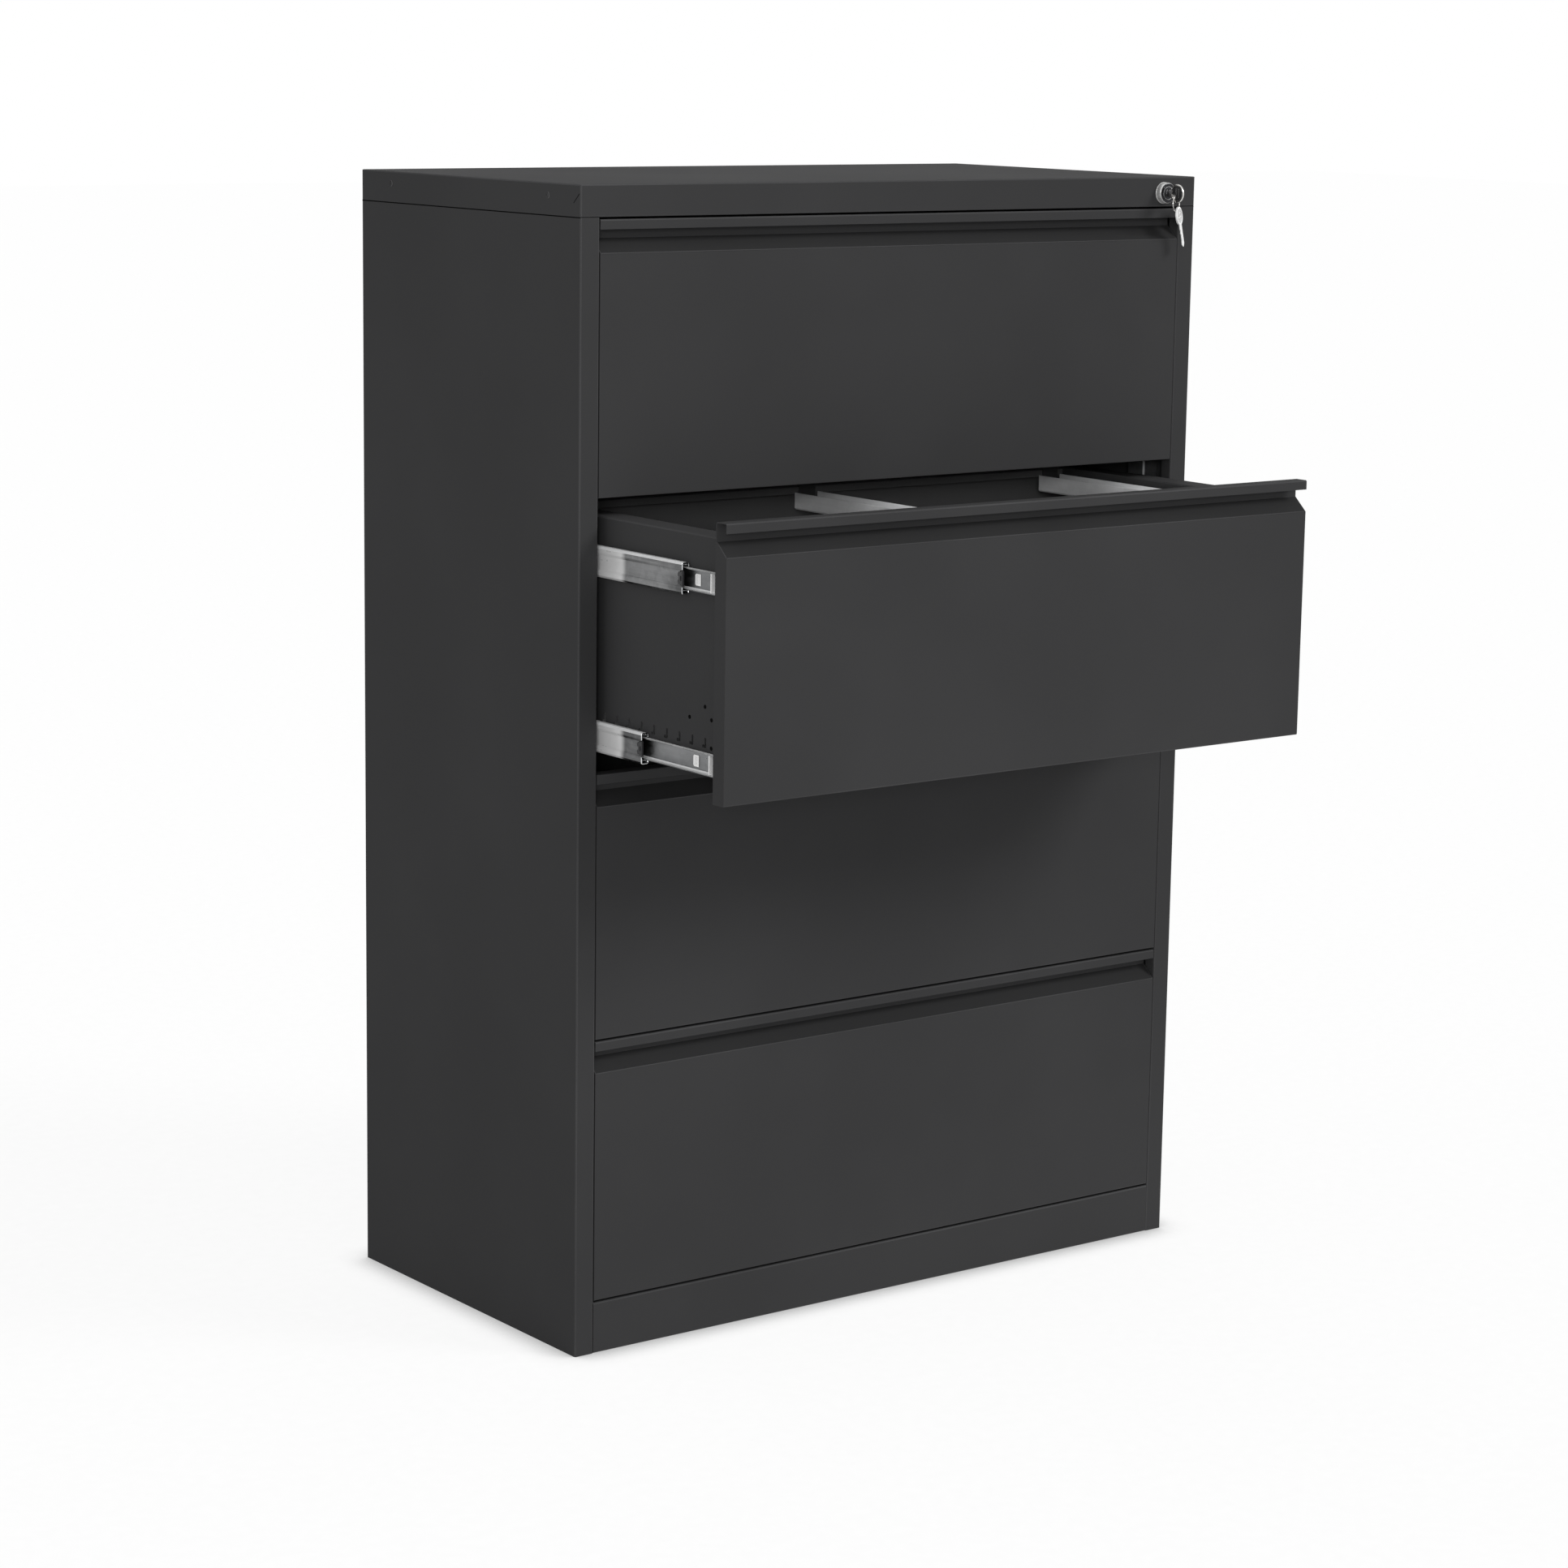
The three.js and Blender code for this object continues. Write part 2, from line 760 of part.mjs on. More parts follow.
// Round bow with a hole and a blade, drawn in (y, z) with the blade along +Y from the bow's middle
function keySolid(bladeLength) {
  const half = bladeWidth / 2;
  const root = Math.asin(half / bowRadius);
  const outline = new THREE.Shape();
  outline.absarc(0, 0, bowRadius, root, 2 * Math.PI - root);
  outline.lineTo(bowRadius + bladeLength - half, -half);
  outline.lineTo(bowRadius + bladeLength, 0);
  outline.lineTo(bowRadius + bladeLength - half, half);
  const hole = new THREE.Path().absarc(bowHoleAlong, -bowHoleDrop, bowHole, 0, 2 * Math.PI);
  outline.holes.push(hole);
  return alongX(outline, -keySheet / 2, keySheet / 2);
}

function keyRing() {
  return solidOf(new THREE.TorusGeometry(ringRadius, ringWire, wireSides, ringSides));
}

// Assembly

function drawer(row) {
  const group = new THREE.Group();
  const travel = row === openDrawer ? openTravel : 0;
  group.position.set(0, -travel, drawerFoot(row));
  const name = `drawer_${row + 1}`;
  group.add(piece(`${name}_front`, drawerFront(), finishes.paint));
  group.add(piece(`${name}_left_side`, drawerSide(-1), finishes.paint));
  group.add(piece(`${name}_right_side`, drawerSide(1), finishes.paint));
  group.add(piece(`${name}_bottom`, drawerBottom(), finishes.paint));
  group.add(piece(`${name}_back`, drawerBack(), finishes.paint));
  barPlaces.forEach((place, i) => {
    group.add(piece(`${name}_file_bar_${i + 1}`, fileBar(place), finishes.zinc));
  });
  return group;
}

function middleMembers(row) {
  const group = new THREE.Group();
  const opened = row === openDrawer ? 1 : 0;
  const foot = drawerFoot(row);
  for (const [hand, side] of [['left', -1], ['right', 1]]) {
    const upper = middleMember(side, foot + upperSlide, opened * upperTravel);
    const lower = middleMember(side, foot + lowerSlide, opened * lowerTravel);
    group.add(piece(`drawer_${row + 1}_upper_${hand}_slide`, upper, finishes.zinc));
    group.add(piece(`drawer_${row + 1}_lower_${hand}_slide`, lower, finishes.zinc));
  }
  return group;
}

function lock() {
  const group = new THREE.Group();
  group.position.set(lockX, 0, lockZ);
  group.add(piece('lock_barrel', lockBarrel(), finishes.chrome));
  group.add(piece('lock_plug', lockPlug(), finishes.chrome));
  group.add(piece('lock_cam', lockCam(), finishes.zinc));

  const key = piece('key', keySolid(bladeReach + bladeShoulder), finishes.nickel);
  key.position.y = -plugFront - bladeShoulder - bowRadius;
  const ring = piece('key_ring', keyRing(), finishes.nickel);
  const ringTop = -bowHoleDrop - bowHole + ringWire + seatGap;
  ring.position.set(0, key.position.y + bowHoleAlong, ringTop - ringRadius);
  ring.rotation.x = Math.PI / 2;
  group.add(key, ring);
  return group;
}

const cabinet = new THREE.Group();
cabinet.position.y = -(caseDepth - openTravel) / 2;
cabinet.add(piece('left_side_panel', sidePanel(-1), finishes.paint));
cabinet.add(piece('right_side_panel', sidePanel(1), finishes.paint));
cabinet.add(piece('top_panel', topPanel(), finishes.paint));
cabinet.add(piece('base_pan', basePan(), finishes.paint));
cabinet.add(piece('back_panel', backPanel(), finishes.paint));
cabinet.add(piece('left_slide_rack', slideRack(-1), finishes.zinc));
cabinet.add(piece('right_slide_rack', join([slideRack(1), ...lockGuides()]), finishes.zinc));
cabinet.add(piece('lock_bar', lockBar(), finishes.zinc));
cabinet.add(lock());
for (let row = 0; row < drawerCount; row += 1) {
  cabinet.add(drawer(row));
  cabinet.add(middleMembers(row));
}

const part = new THREE.Group();
part.add(cabinet);

export default part;
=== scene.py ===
import json
import math
import bmesh
import bpy
from mathutils import Matrix, Vector


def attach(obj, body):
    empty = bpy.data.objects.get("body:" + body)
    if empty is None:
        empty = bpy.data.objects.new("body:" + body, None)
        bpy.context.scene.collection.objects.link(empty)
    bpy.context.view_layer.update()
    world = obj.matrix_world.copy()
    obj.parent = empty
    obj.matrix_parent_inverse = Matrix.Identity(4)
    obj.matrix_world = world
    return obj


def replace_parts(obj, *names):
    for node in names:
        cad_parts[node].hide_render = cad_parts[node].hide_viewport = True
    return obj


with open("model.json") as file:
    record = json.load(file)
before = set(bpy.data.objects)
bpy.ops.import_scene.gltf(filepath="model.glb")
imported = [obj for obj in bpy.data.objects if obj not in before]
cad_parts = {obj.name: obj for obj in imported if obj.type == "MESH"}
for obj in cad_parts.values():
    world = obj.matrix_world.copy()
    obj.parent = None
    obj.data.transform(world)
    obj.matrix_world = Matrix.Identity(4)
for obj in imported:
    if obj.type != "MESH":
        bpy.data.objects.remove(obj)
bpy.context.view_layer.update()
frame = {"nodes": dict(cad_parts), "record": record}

scene = bpy.context.scene
nodes = frame["nodes"]


# wraps one shader socket, so that sums on values read as sums
class Wire:
    def __init__(self, tree, socket=None):
        self.tree = tree
        self.socket = socket

    # any node: its type, the settings set first, then values or wires for its sockets
    def node(self, kind, settings=None, sockets=None, out=0):
        made = self.tree.nodes.new(kind)
        for name, value in (settings or {}).items():
            setattr(made, name, value)
        for name, value in (sockets or {}).items():
            if isinstance(value, Wire):
                self.tree.links.new(value.socket, made.inputs[name])
            else:
                made.inputs[name].default_value = value
        return Wire(self.tree, made.outputs[out])

    def sum(self, operation, first, second):
        return self.node("ShaderNodeMath", {"operation": operation}, {0: first, 1: second})

    def __add__(self, other):
        return self.sum("ADD", self, other)

    def __radd__(self, other):
        return self.sum("ADD", other, self)

    def __sub__(self, other):
        return self.sum("SUBTRACT", self, other)

    def __rsub__(self, other):
        return self.sum("SUBTRACT", other, self)

    def __mul__(self, other):
        return self.sum("MULTIPLY", self, other)

    def __rmul__(self, other):
        return self.sum("MULTIPLY", other, self)


def newMaterial(name):
    material = bpy.data.materials.new(name)
    material.use_nodes = True
    material.node_tree.nodes.clear()
    return material, Wire(material.node_tree)


def closeMaterial(material, shader):
    end = material.node_tree.nodes.new("ShaderNodeOutputMaterial")
    material.node_tree.links.new(shader.socket, end.inputs["Surface"])
    return material


def blendColour(w, factor, first, second):
    return w.node("ShaderNodeMix", {"data_type": "RGBA"}, {0: factor, 6: first, 7: second}, 2)


def noise(w, place, scale, detail=2.0, rough=0.5):
    sockets = {"Vector": place, "Scale": scale, "Detail": detail, "Roughness": rough}
    return w.node("ShaderNodeTexNoise", {}, sockets)


def between(w, value, low, high, toLow=0.0, toHigh=1.0):
    sockets = {"Value": value, "From Min": low, "From Max": high, "To Min": toLow, "To Max": toHigh}
    return w.node("ShaderNodeMapRange", {"interpolation_type": "SMOOTHSTEP"}, sockets)


# sum of values, each times its share
def shared(shares, *values):
    total = shares[0] * values[0]
    for share, value in zip(shares[1:], values[1:]):
        total = total + share * value
    return total


def bumped(w, height, strength, distance):
    sockets = {"Strength": strength, "Distance": distance, "Height": height}
    return w.node("ShaderNodeBump", {}, sockets)


# camera at the photographed angle
cameraSet = {
    "place": (-2.889, -3.731, 1.496),
    "turn": -36.98,
    "rise": 10.70,
    "roll": 0.86,
    "focal": 4906.0,
    "frame": 1932.0,
    "sensor": 36.0,
    "clipEnd": 100.0,
}


def makeCamera():
    turn = math.radians(cameraSet["turn"])
    rise = math.radians(cameraSet["rise"])
    roll = math.radians(cameraSet["roll"])
    back = Vector((math.sin(turn) * math.cos(rise), -math.cos(turn) * math.cos(rise), math.sin(rise)))
    right = Vector((0, 0, 1)).cross(back).normalized()
    up = back.cross(right)
    rolledRight = right * math.cos(roll) + up * math.sin(roll)
    rolledUp = up * math.cos(roll) - right * math.sin(roll)
    data = bpy.data.cameras.new("camera")
    data.sensor_fit = "AUTO"
    data.sensor_width = cameraSet["sensor"]
    data.lens = cameraSet["sensor"] * cameraSet["focal"] / cameraSet["frame"]
    data.clip_end = cameraSet["clipEnd"]
    camera = bpy.data.objects.new("camera", data)
    turnMatrix = Matrix((rolledRight, rolledUp, back)).transposed()
    camera.matrix_world = Matrix.Translation(cameraSet["place"]) @ turnMatrix.to_4x4()
    scene.collection.objects.link(camera)
    scene.camera = camera
    print("camera: lens", round(data.lens, 2))


# light: one broad key from the right and above, weak ones from the left and the viewer's side, and even fill
lightSet = {
    "keyFrom": (0.97, -1.0, 0.90),
    "keyPower": 1.52,
    "keySoftness": 20.0,
    "leftFrom": (-1.0, -0.25, 0.35),
    "leftPower": 0.4,
    "leftSoftness": 80.0,
    "frontFrom": (-0.615, -0.77, 0.178),
    "frontPower": 0.62,
    "frontSoftness": 10.0,
    "fill": 0.49,
}


def makeSun(name, comingFrom, power, softness):
    data = bpy.data.lights.new(name, "SUN")
    data.energy = power
    data.angle = math.radians(softness)
    lamp = bpy.data.objects.new(name, data)
    lamp.rotation_euler = Vector(comingFrom).to_track_quat("Z", "Y").to_euler()
    scene.collection.objects.link(lamp)


# 1 for the rays that show the background, 0 for those that only carry light
def seenRays(w):
    path = w.node("ShaderNodeLightPath").socket.node.outputs
    seen = w.sum("MAXIMUM", Wire(w.tree, path["Is Camera Ray"]), Wire(w.tree, path["Is Glossy Ray"]))
    return w.sum("MAXIMUM", seen, Wire(w.tree, path["Is Transmission Ray"]))


def makeLight():
    for name in ("key", "left", "front"):
        power, softness = lightSet[name + "Power"], lightSet[name + "Softness"]
        makeSun(name + "Light", lightSet[name + "From"], power, softness)
    world = bpy.data.worlds.new("studio")
    world.use_nodes = True
    world.node_tree.nodes.clear()
    w = Wire(world.node_tree)
    strength = seenRays(w) * (1.0 - lightSet["fill"]) + lightSet["fill"]
    shade = w.node("ShaderNodeBackground", {}, {"Color": (1, 1, 1, 1), "Strength": strength})
    end = world.node_tree.nodes.new("ShaderNodeOutputWorld")
    world.node_tree.links.new(shade.socket, end.inputs["Surface"])
    scene.world = world
    scene.view_settings.view_transform = "Standard"
    print("light: key, left, front and fill")


# pale floor that keeps a close shadow; the last two numbers of contact and speckle are tones
floorSet = {
    "half": 30.0,
    "glow": 0.86,
    "power": 1.06,
    "paper": (0.74, 0.74, 0.74, 1),
    "reach": 0.05,
    "samples": 8,
    "contact": (0.35, 1.0, 0.45, 1.0),
    "grain": 60.0,
    "speckle": (0.2, 0.8, 0.985, 1.0),
}


def makeFloor():
    s = floorSet
    half = s["half"]
    corners = [(-half, -half, 0), (half, -half, 0), (half, half, 0), (-half, half, 0)]
    mesh = bpy.data.meshes.new("floor")
    mesh.from_pydata(corners, [], [(0, 1, 2, 3)])
    floor = bpy.data.objects.new("floor", mesh)
    scene.collection.objects.link(floor)
    material, w = newMaterial("floorPaper")
    contact = w.node("ShaderNodeAmbientOcclusion", {"samples": s["samples"]}, {"Distance": s["reach"]}, 1)
    shade = between(w, contact, *s["contact"])
    grain = noise(w, w.node("ShaderNodeNewGeometry"), s["grain"])
    tone = between(w, grain, *s["speckle"]) * shade
    glow = w.node("ShaderNodeCombineColor", {}, {0: tone, 1: tone, 2: tone})
    emission = w.node("ShaderNodeEmission", {}, {"Color": glow, "Strength": s["power"]})
    matte = w.node("ShaderNodeBsdfDiffuse", {}, {"Color": s["paper"]})
    mixed = w.node("ShaderNodeMixShader", {}, {0: seenRays(w) * s["glow"], 1: matte, 2: emission})
    mesh.materials.append(closeMaterial(material, mixed))
    print("floor done")


# finishes; a noise is given by its scale, detail and roughness, a bump by its strength and distance,
# a span is the part of a noise that is spread over the whole blend, shares add up to 1
paintSet = {
    "dark": (0.0415, 0.0415, 0.0425, 1),
    "light": (0.0505, 0.0505, 0.0515, 1),
    # the edge tone is a lighter paint, a painted highlight on bends, bevels, screws and crease lines
    "edge": (0.078, 0.078, 0.080, 1),
    # the pale tone is a lighter paint, the painted highlight on the dimples' rims
    "pale": (0.095, 0.095, 0.096, 1),
    # the shade tones are a darker paint, painted shade on the slopes under the drawers' lips
    "shadeDark": (0.0270, 0.0270, 0.0275, 1),
    "shadeLight": (0.0325, 0.0325, 0.0330, 1),
    # the inside tones are a lighter paint, painted light inside the drawers and on the dimples' rims
    "litInsideDark": (0.105, 0.105, 0.106, 1),
    "litInsideLight": (0.125, 0.125, 0.126, 1),
    "rough": (0.66, 0.80),
    "specular": 0.03,
    "broad": (3.1, 3.0, 0.55),
    "grain": (900.0, 1.5, 0.6),
    "peel": (160.0, 2.0, 0.5),
    "patchSpan": (0.3, 0.7),
    "speckSpan": (0.35, 0.75),
    "colourShares": (0.6, 0.4),
    "roughShares": (0.5, 0.5),
    "heightShares": (0.6, 0.4),
    "bump": (0.10, 0.0006),
}


def paintMaterial(name, dark, light):
    material, w = newMaterial(name)
    place = w.node("ShaderNodeTexCoord", {}, {}, 3)
    broad = noise(w, place, *paintSet["broad"])
    fine = noise(w, place, *paintSet["grain"])
    peel = noise(w, place, *paintSet["peel"])
    patch = between(w, broad, *paintSet["patchSpan"])
    speck = between(w, fine, *paintSet["speckSpan"])
    base = blendColour(w, shared(paintSet["colourShares"], patch, speck), dark, light)
    low, high = paintSet["rough"]
    rough = low + (high - low) * shared(paintSet["roughShares"], patch, speck)
    height = shared(paintSet["heightShares"], peel, fine)
    bump = bumped(w, height, *paintSet["bump"])
    sockets = {"Base Color": base, "Roughness": rough, "Normal": bump}
    sockets["Specular IOR Level"] = paintSet["specular"]
    return closeMaterial(material, w.node("ShaderNodeBsdfPrincipled", {}, sockets))


# for each kind: darkest and lightest colour, metal share and roughness; on the slides a pale patch of painted
# reflection rises over the first span, where the open drawer's slides come out of the case, and fades out
# over the second span, inside it
zincSet = {
    "slide": ((0.06, 0.061, 0.062, 1), (0.24, 0.243, 0.246, 1), 1.0, (0.26, 0.40)),
    "rack": ((0.10, 0.102, 0.104, 1), (0.20, 0.203, 0.206, 1), 0.8, (0.40, 0.55)),
    "web": ((0.13, 0.133, 0.136, 1), (0.25, 0.254, 0.258, 1), 1.0, (0.32, 0.46)),
    "bar": ((0.74, 0.745, 0.75, 1), (0.90, 0.905, 0.91, 1), 0.10, (0.40, 0.56)),
    "spangle": 170.0,
    "streak": (260.0, 9.0, 260.0),
    "streakNoise": (1.0, 3.0, 0.6),
    "streakSpan": (0.3, 0.7),
    "cloud": (20.0, 11.0, 34.0),
    "cloudNoise": (1.0, 2.0),
    "cloudSpan": (0.35, 0.65),
    "colourShares": (0.25, 0.20, 0.55),
    "roughShares": (0.5, 0.5),
    "bump": (0.08, 0.0004),
    "near": (-0.162, -0.150),
    "fade": (-0.112, -0.050),
    "nearColour": (0.84, 0.84, 0.84, 1),
    "nearShare": 0.75,
}


def zincMaterial(name, kind):
    dark, light, metal, (low, high) = zincSet[kind]
    material, w = newMaterial(name)
    place = w.node("ShaderNodeTexCoord", {}, {}, 3)
    along = w.node("ShaderNodeMapping", {}, {"Vector": place, "Scale": zincSet["streak"]})
    streak = between(w, noise(w, along, *zincSet["streakNoise"]), *zincSet["streakSpan"])
    cells = {"Vector": place, "Scale": zincSet["spangle"]}
    spangle = w.node("ShaderNodeTexVoronoi", {"feature": "F1"}, cells, 1)
    flake = between(w, w.node("ShaderNodeSeparateColor", {}, {0: spangle}), 0.0, 1.0)
    patches = w.node("ShaderNodeMapping", {}, {"Vector": place, "Scale": zincSet["cloud"]})
    cloud = between(w, noise(w, patches, *zincSet["cloudNoise"]), *zincSet["cloudSpan"])
    base = blendColour(w, shared(zincSet["colourShares"], streak, flake, cloud), dark, light)
    rough = low + (high - low) * shared(zincSet["roughShares"], streak, flake)
    # painted reflection: a pale, less metallic patch on the slides where they come out of the case, fading
    # inside it
    if kind == "slide":
        depth = w.node("ShaderNodeSeparateXYZ", {}, {0: place}, 1)
        faded = 1 - between(w, depth, *zincSet["fade"])
        near = between(w, depth, *zincSet["near"]) * faded * zincSet["nearShare"]
        base = blendColour(w, near, base, zincSet["nearColour"])
        metal = metal - near
    bump = bumped(w, streak, *zincSet["bump"])
    sockets = {"Base Color": base, "Roughness": rough, "Normal": bump, "Metallic": metal}
    return closeMaterial(material, w.node("ShaderNodeBsdfPrincipled", {}, sockets))


# for each kind: darkest and lightest colour, metal share and roughness
brightSet = {
    "chrome": ((0.58, 0.59, 0.60, 1), (0.72, 0.73, 0.74, 1), 1.0, (0.06, 0.16)),
    "nickel": ((0.54, 0.53, 0.51, 1), (0.70, 0.69, 0.67, 1), 1.0, (0.16, 0.28)),
    "smoke": ((0.020, 0.020, 0.022, 1), (0.050, 0.050, 0.054, 1), 1.0, (0.10, 0.22)),
    "satin": ((0.40, 0.40, 0.395, 1), (0.70, 0.70, 0.695, 1), 0.4, (0.24, 0.38)),
    "pale": ((0.84, 0.84, 0.835, 1), (0.96, 0.96, 0.955, 1), 0.1, (0.30, 0.42)),
    "smear": (90.0, 3.0, 0.6),
    "smearSpan": (0.3, 0.7),
    "scratch": (900.0, 120.0, 900.0),
    "scratchNoise": (1.0, 2.0),
    "scratchSpan": (0.35, 0.65),
    "shares": (0.6, 0.4),
    "bump": (0.04, 0.0002),
}


def brightMaterial(name):
    dark, light, metal, (low, high) = brightSet[name]
    material, w = newMaterial(name)
    place = w.node("ShaderNodeTexCoord", {}, {}, 3)
    smear = between(w, noise(w, place, *brightSet["smear"]), *brightSet["smearSpan"])
    scratch = w.node("ShaderNodeMapping", {}, {"Vector": place, "Scale": brightSet["scratch"]})
    fine = between(w, noise(w, scratch, *brightSet["scratchNoise"]), *brightSet["scratchSpan"])
    base = blendColour(w, shared(brightSet["shares"], smear, fine), dark, light)
    rough = low + (high - low) * shared(brightSet["shares"], smear, fine)
    bump = bumped(w, fine, *brightSet["bump"])
    sockets = {"Base Color": base, "Roughness": rough, "Normal": bump, "Metallic": metal}
    return closeMaterial(material, w.node("ShaderNodeBsdfPrincipled", {}, sockets))


# for each kind: darkest and lightest colour, roughness and shine
plasticSet = {
    "plastic": ((0.012, 0.012, 0.013, 1), (0.026, 0.026, 0.028, 1), (0.38, 0.55), 0.4),
    # a near-black finish, painted shade for holes and joint lines
    "shadeBlack": ((0.004, 0.004, 0.004, 1), (0.008, 0.008, 0.008, 1), (0.80, 0.95), 0.0),
    "grain": 1400.0,
    "cloud": 120.0,
    "span": (0.3, 0.7),
    "shares": (0.5, 0.5),
    "bump": (0.15, 0.0002),
}


def plasticMaterial(name):
    dark, light, (low, high), shine = plasticSet[name]
    material, w = newMaterial(name)
    place = w.node("ShaderNodeTexCoord", {}, {}, 3)
    grain = between(w, noise(w, place, plasticSet["grain"]), *plasticSet["span"])
    cloud = between(w, noise(w, place, plasticSet["cloud"]), *plasticSet["span"])
    base = blendColour(w, shared(plasticSet["shares"], grain, cloud), dark, light)
    rough = low + (high - low) * cloud
    bump = bumped(w, grain, *plasticSet["bump"])
    sockets = {"Base Color": base, "Roughness": rough, "Normal": bump, "Specular IOR Level": shine}
    return closeMaterial(material, w.node("ShaderNodeBsdfPrincipled", {}, sockets))


def makeFinishes():
    made = {
        "paint": paintMaterial("paint", paintSet["dark"], paintSet["light"]),
        "paintEdgeHighlight": paintMaterial("paintEdgeHighlight", paintSet["light"], paintSet["edge"]),
        "paintDimpleHighlight": paintMaterial("paintDimpleHighlight", paintSet["pale"], paintSet["litInsideDark"]),
        "paintShade": paintMaterial("paintShade", paintSet["shadeDark"], paintSet["shadeLight"]),
        "paintLitInside": paintMaterial("paintLitInside", paintSet["litInsideDark"], paintSet["litInsideLight"]),
        "zinc": zincMaterial("zinc", "rack"),
        "zincSlide": zincMaterial("zincSlide", "slide"),
        "zincWeb": zincMaterial("zincWeb", "web"),
        "zincBar": zincMaterial("zincBar", "bar"),
        "chrome": brightMaterial("chrome"),
        "nickel": brightMaterial("nickel"),
        "smoke": brightMaterial("smoke"),
        "satin": brightMaterial("satin"),
        "pale": brightMaterial("pale"),
        "plastic": plasticMaterial("plastic"),
        "shadeBlack": plasticMaterial("shadeBlack"),
    }
    print("finishes:", ", ".join(made))
    return made


# the solids keep their shape; edges are eased and finishes put on, sizes in metres
easeSet = {
    "weld": 1e-5,
    "flat": 0.5,
    "paint": 0.00035,
    "zinc": 0.00022,
    "segments": 2,
    "sharp": 30.0,
    "memberFrom": 0.41155,  # the slide member on a drawer side starts here
    "webTo": 0.4138,
    "bendArea": 0.0012,
    "bendNormal": 0.97,
    "hook": 0.0075,  # height of the file bars' hooks, painted like the drawer
    "lit": 0.6,  # a face with more upward normal is a top that gets a painted highlight
}


# finish of a painted face: 0 its own, 1 a painted highlight on the edge of a bend, 4 painted shade on the
# slope under a drawer's lip, and on a drawer side's slide member 2 its flanges, with the slides' painted
# reflection, 3 its web, 5 a painted highlight on the tops of its flanges
def faceFinish(name, face):
    reach = abs(face.center.x)
    if name.endswith(("_left_side", "_right_side")) and reach > easeSet["memberFrom"]:
        if face.normal.z > easeSet["lit"]:
            return 5
        return 3 if reach < easeSet["webTo"] else 2
    bent = max(abs(part) for part in face.normal) < easeSet["bendNormal"]
    if bent and face.area < easeSet["bendArea"]:
        return 1
    return 4 if bent and name.endswith("_front") else 0


def dressSolids(finishes):
    slots = {part["node"]: part["material_slot"] for part in frame["record"]["subparts"]}
    for name, node in nodes.items():
        slot = slots[name]
        plain = slot
        if "_file_bar_" in name:
            plain = "zincBar"
        elif name.endswith("_slide"):
            plain = "zincSlide"
        # drawer bottoms and backs take a lighter paint, painted light inside the drawers
        elif name.startswith("drawer_") and name.endswith(("_bottom", "_back")):
            plain = "paintLitInside"
        heights = [vertex.co.z for vertex in node.data.vertices]
        node.data.materials.clear()
        node.data.materials.append(finishes[plain])
        # painted parts choose face by face among their own paint, the lighter edge paint as a painted
        # highlight, the slide zincs (one with a painted reflection), the darker paint as painted shade and
        # the pale bar zinc as a painted highlight
        if slot == "paint":
            for extra in ("paintEdgeHighlight", "zincSlide", "zincWeb", "paintShade", "zincBar"):
                node.data.materials.append(finishes[extra])
            for face in node.data.polygons:
                face.material_index = faceFinish(name, face)
        # middle members: the upper tops take the pale bar zinc as a painted highlight, the rest the slide
        # zinc with its painted reflection
        if plain == "zincSlide":
            node.data.materials.append(finishes["zincBar"])
            middle = sum(heights) / len(heights)
            for face in node.data.polygons:
                lit = face.normal.z > easeSet["lit"] and face.center.z > middle
                face.material_index = 1 if lit else 0
        if "_file_bar_" in name:
            node.data.materials.append(finishes["paint"])
            hooksFrom = max(heights) - easeSet["hook"]
            for face in node.data.polygons:
                face.material_index = 1 if max(heights[i] for i in face.vertices) > hooksFrom else 0
        weld = node.modifiers.new("weld", "WELD")
        weld.merge_threshold = easeSet["weld"]
        flat = node.modifiers.new("flat", "DECIMATE")
        flat.decimate_type = "DISSOLVE"
        flat.delimit = {"MATERIAL"}
        flat.angle_limit = math.radians(easeSet["flat"])
        ease = node.modifiers.new("ease", "BEVEL")
        ease.width = easeSet["paint"] if slot == "paint" else easeSet["zinc"]
        ease.segments = easeSet["segments"]
        ease.limit_method = "ANGLE"
        ease.angle_limit = math.radians(easeSet["sharp"])
        # the bevels of painted parts, but for the drawer sides, take the lighter edge paint as a painted
        # highlight
        if slot == "paint" and not name.endswith(("_left_side", "_right_side")):
            ease.material = 1
    print("solids dressed:", len(nodes))


frontAt = 110.0  # the cabinet's front plane, before the middle of the frame
metre = 0.001


# sizes below are in millimetres in the cabinet: x across, y back from the front, z up
def at(x, y, z):
    return Vector((x, y - frontAt, z)) * metre


def joinForms(forms):
    verts, faces = [], []
    for formVerts, formFaces in forms:
        start = len(verts)
        verts += formVerts
        faces += [tuple(i + start for i in face) for face in formFaces]
    return verts, faces


joinDistance = 1e-4


# closes the mesh, turns its faces outward and shades it
def finishMesh(name, form, matrix, smooth):
    mesh = bpy.data.meshes.new(name)
    mesh.from_pydata([tuple(v) for v in form[0]], [], form[1])
    work = bmesh.new()
    work.from_mesh(mesh)
    bmesh.ops.remove_doubles(work, verts=work.verts, dist=joinDistance)
    bmesh.ops.dissolve_degenerate(work, edges=work.edges, dist=joinDistance)
    bmesh.ops.recalc_face_normals(work, faces=work.faces)
    work.to_mesh(mesh)
    work.free()
    mesh.transform(matrix)
    mesh.shade_smooth()
    mesh.set_sharp_from_angle(angle=math.radians(smooth))
    return mesh


def putPiece(name, mesh, finish, body):
    mesh.materials.clear()
    mesh.materials.append(finishes[finish])
    piece = bpy.data.objects.new(name, mesh)
    scene.collection.objects.link(piece)
    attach(piece, body)
    return piece


# gives a piece's faces that look along a direction another finish
def refinish(piece, finish, direction, cosine):
    piece.data.materials.append(finishes[finish])
    toward = Vector(direction)
    for face in piece.data.polygons:
        if face.normal.dot(toward) > cosine:
            face.material_index = 1


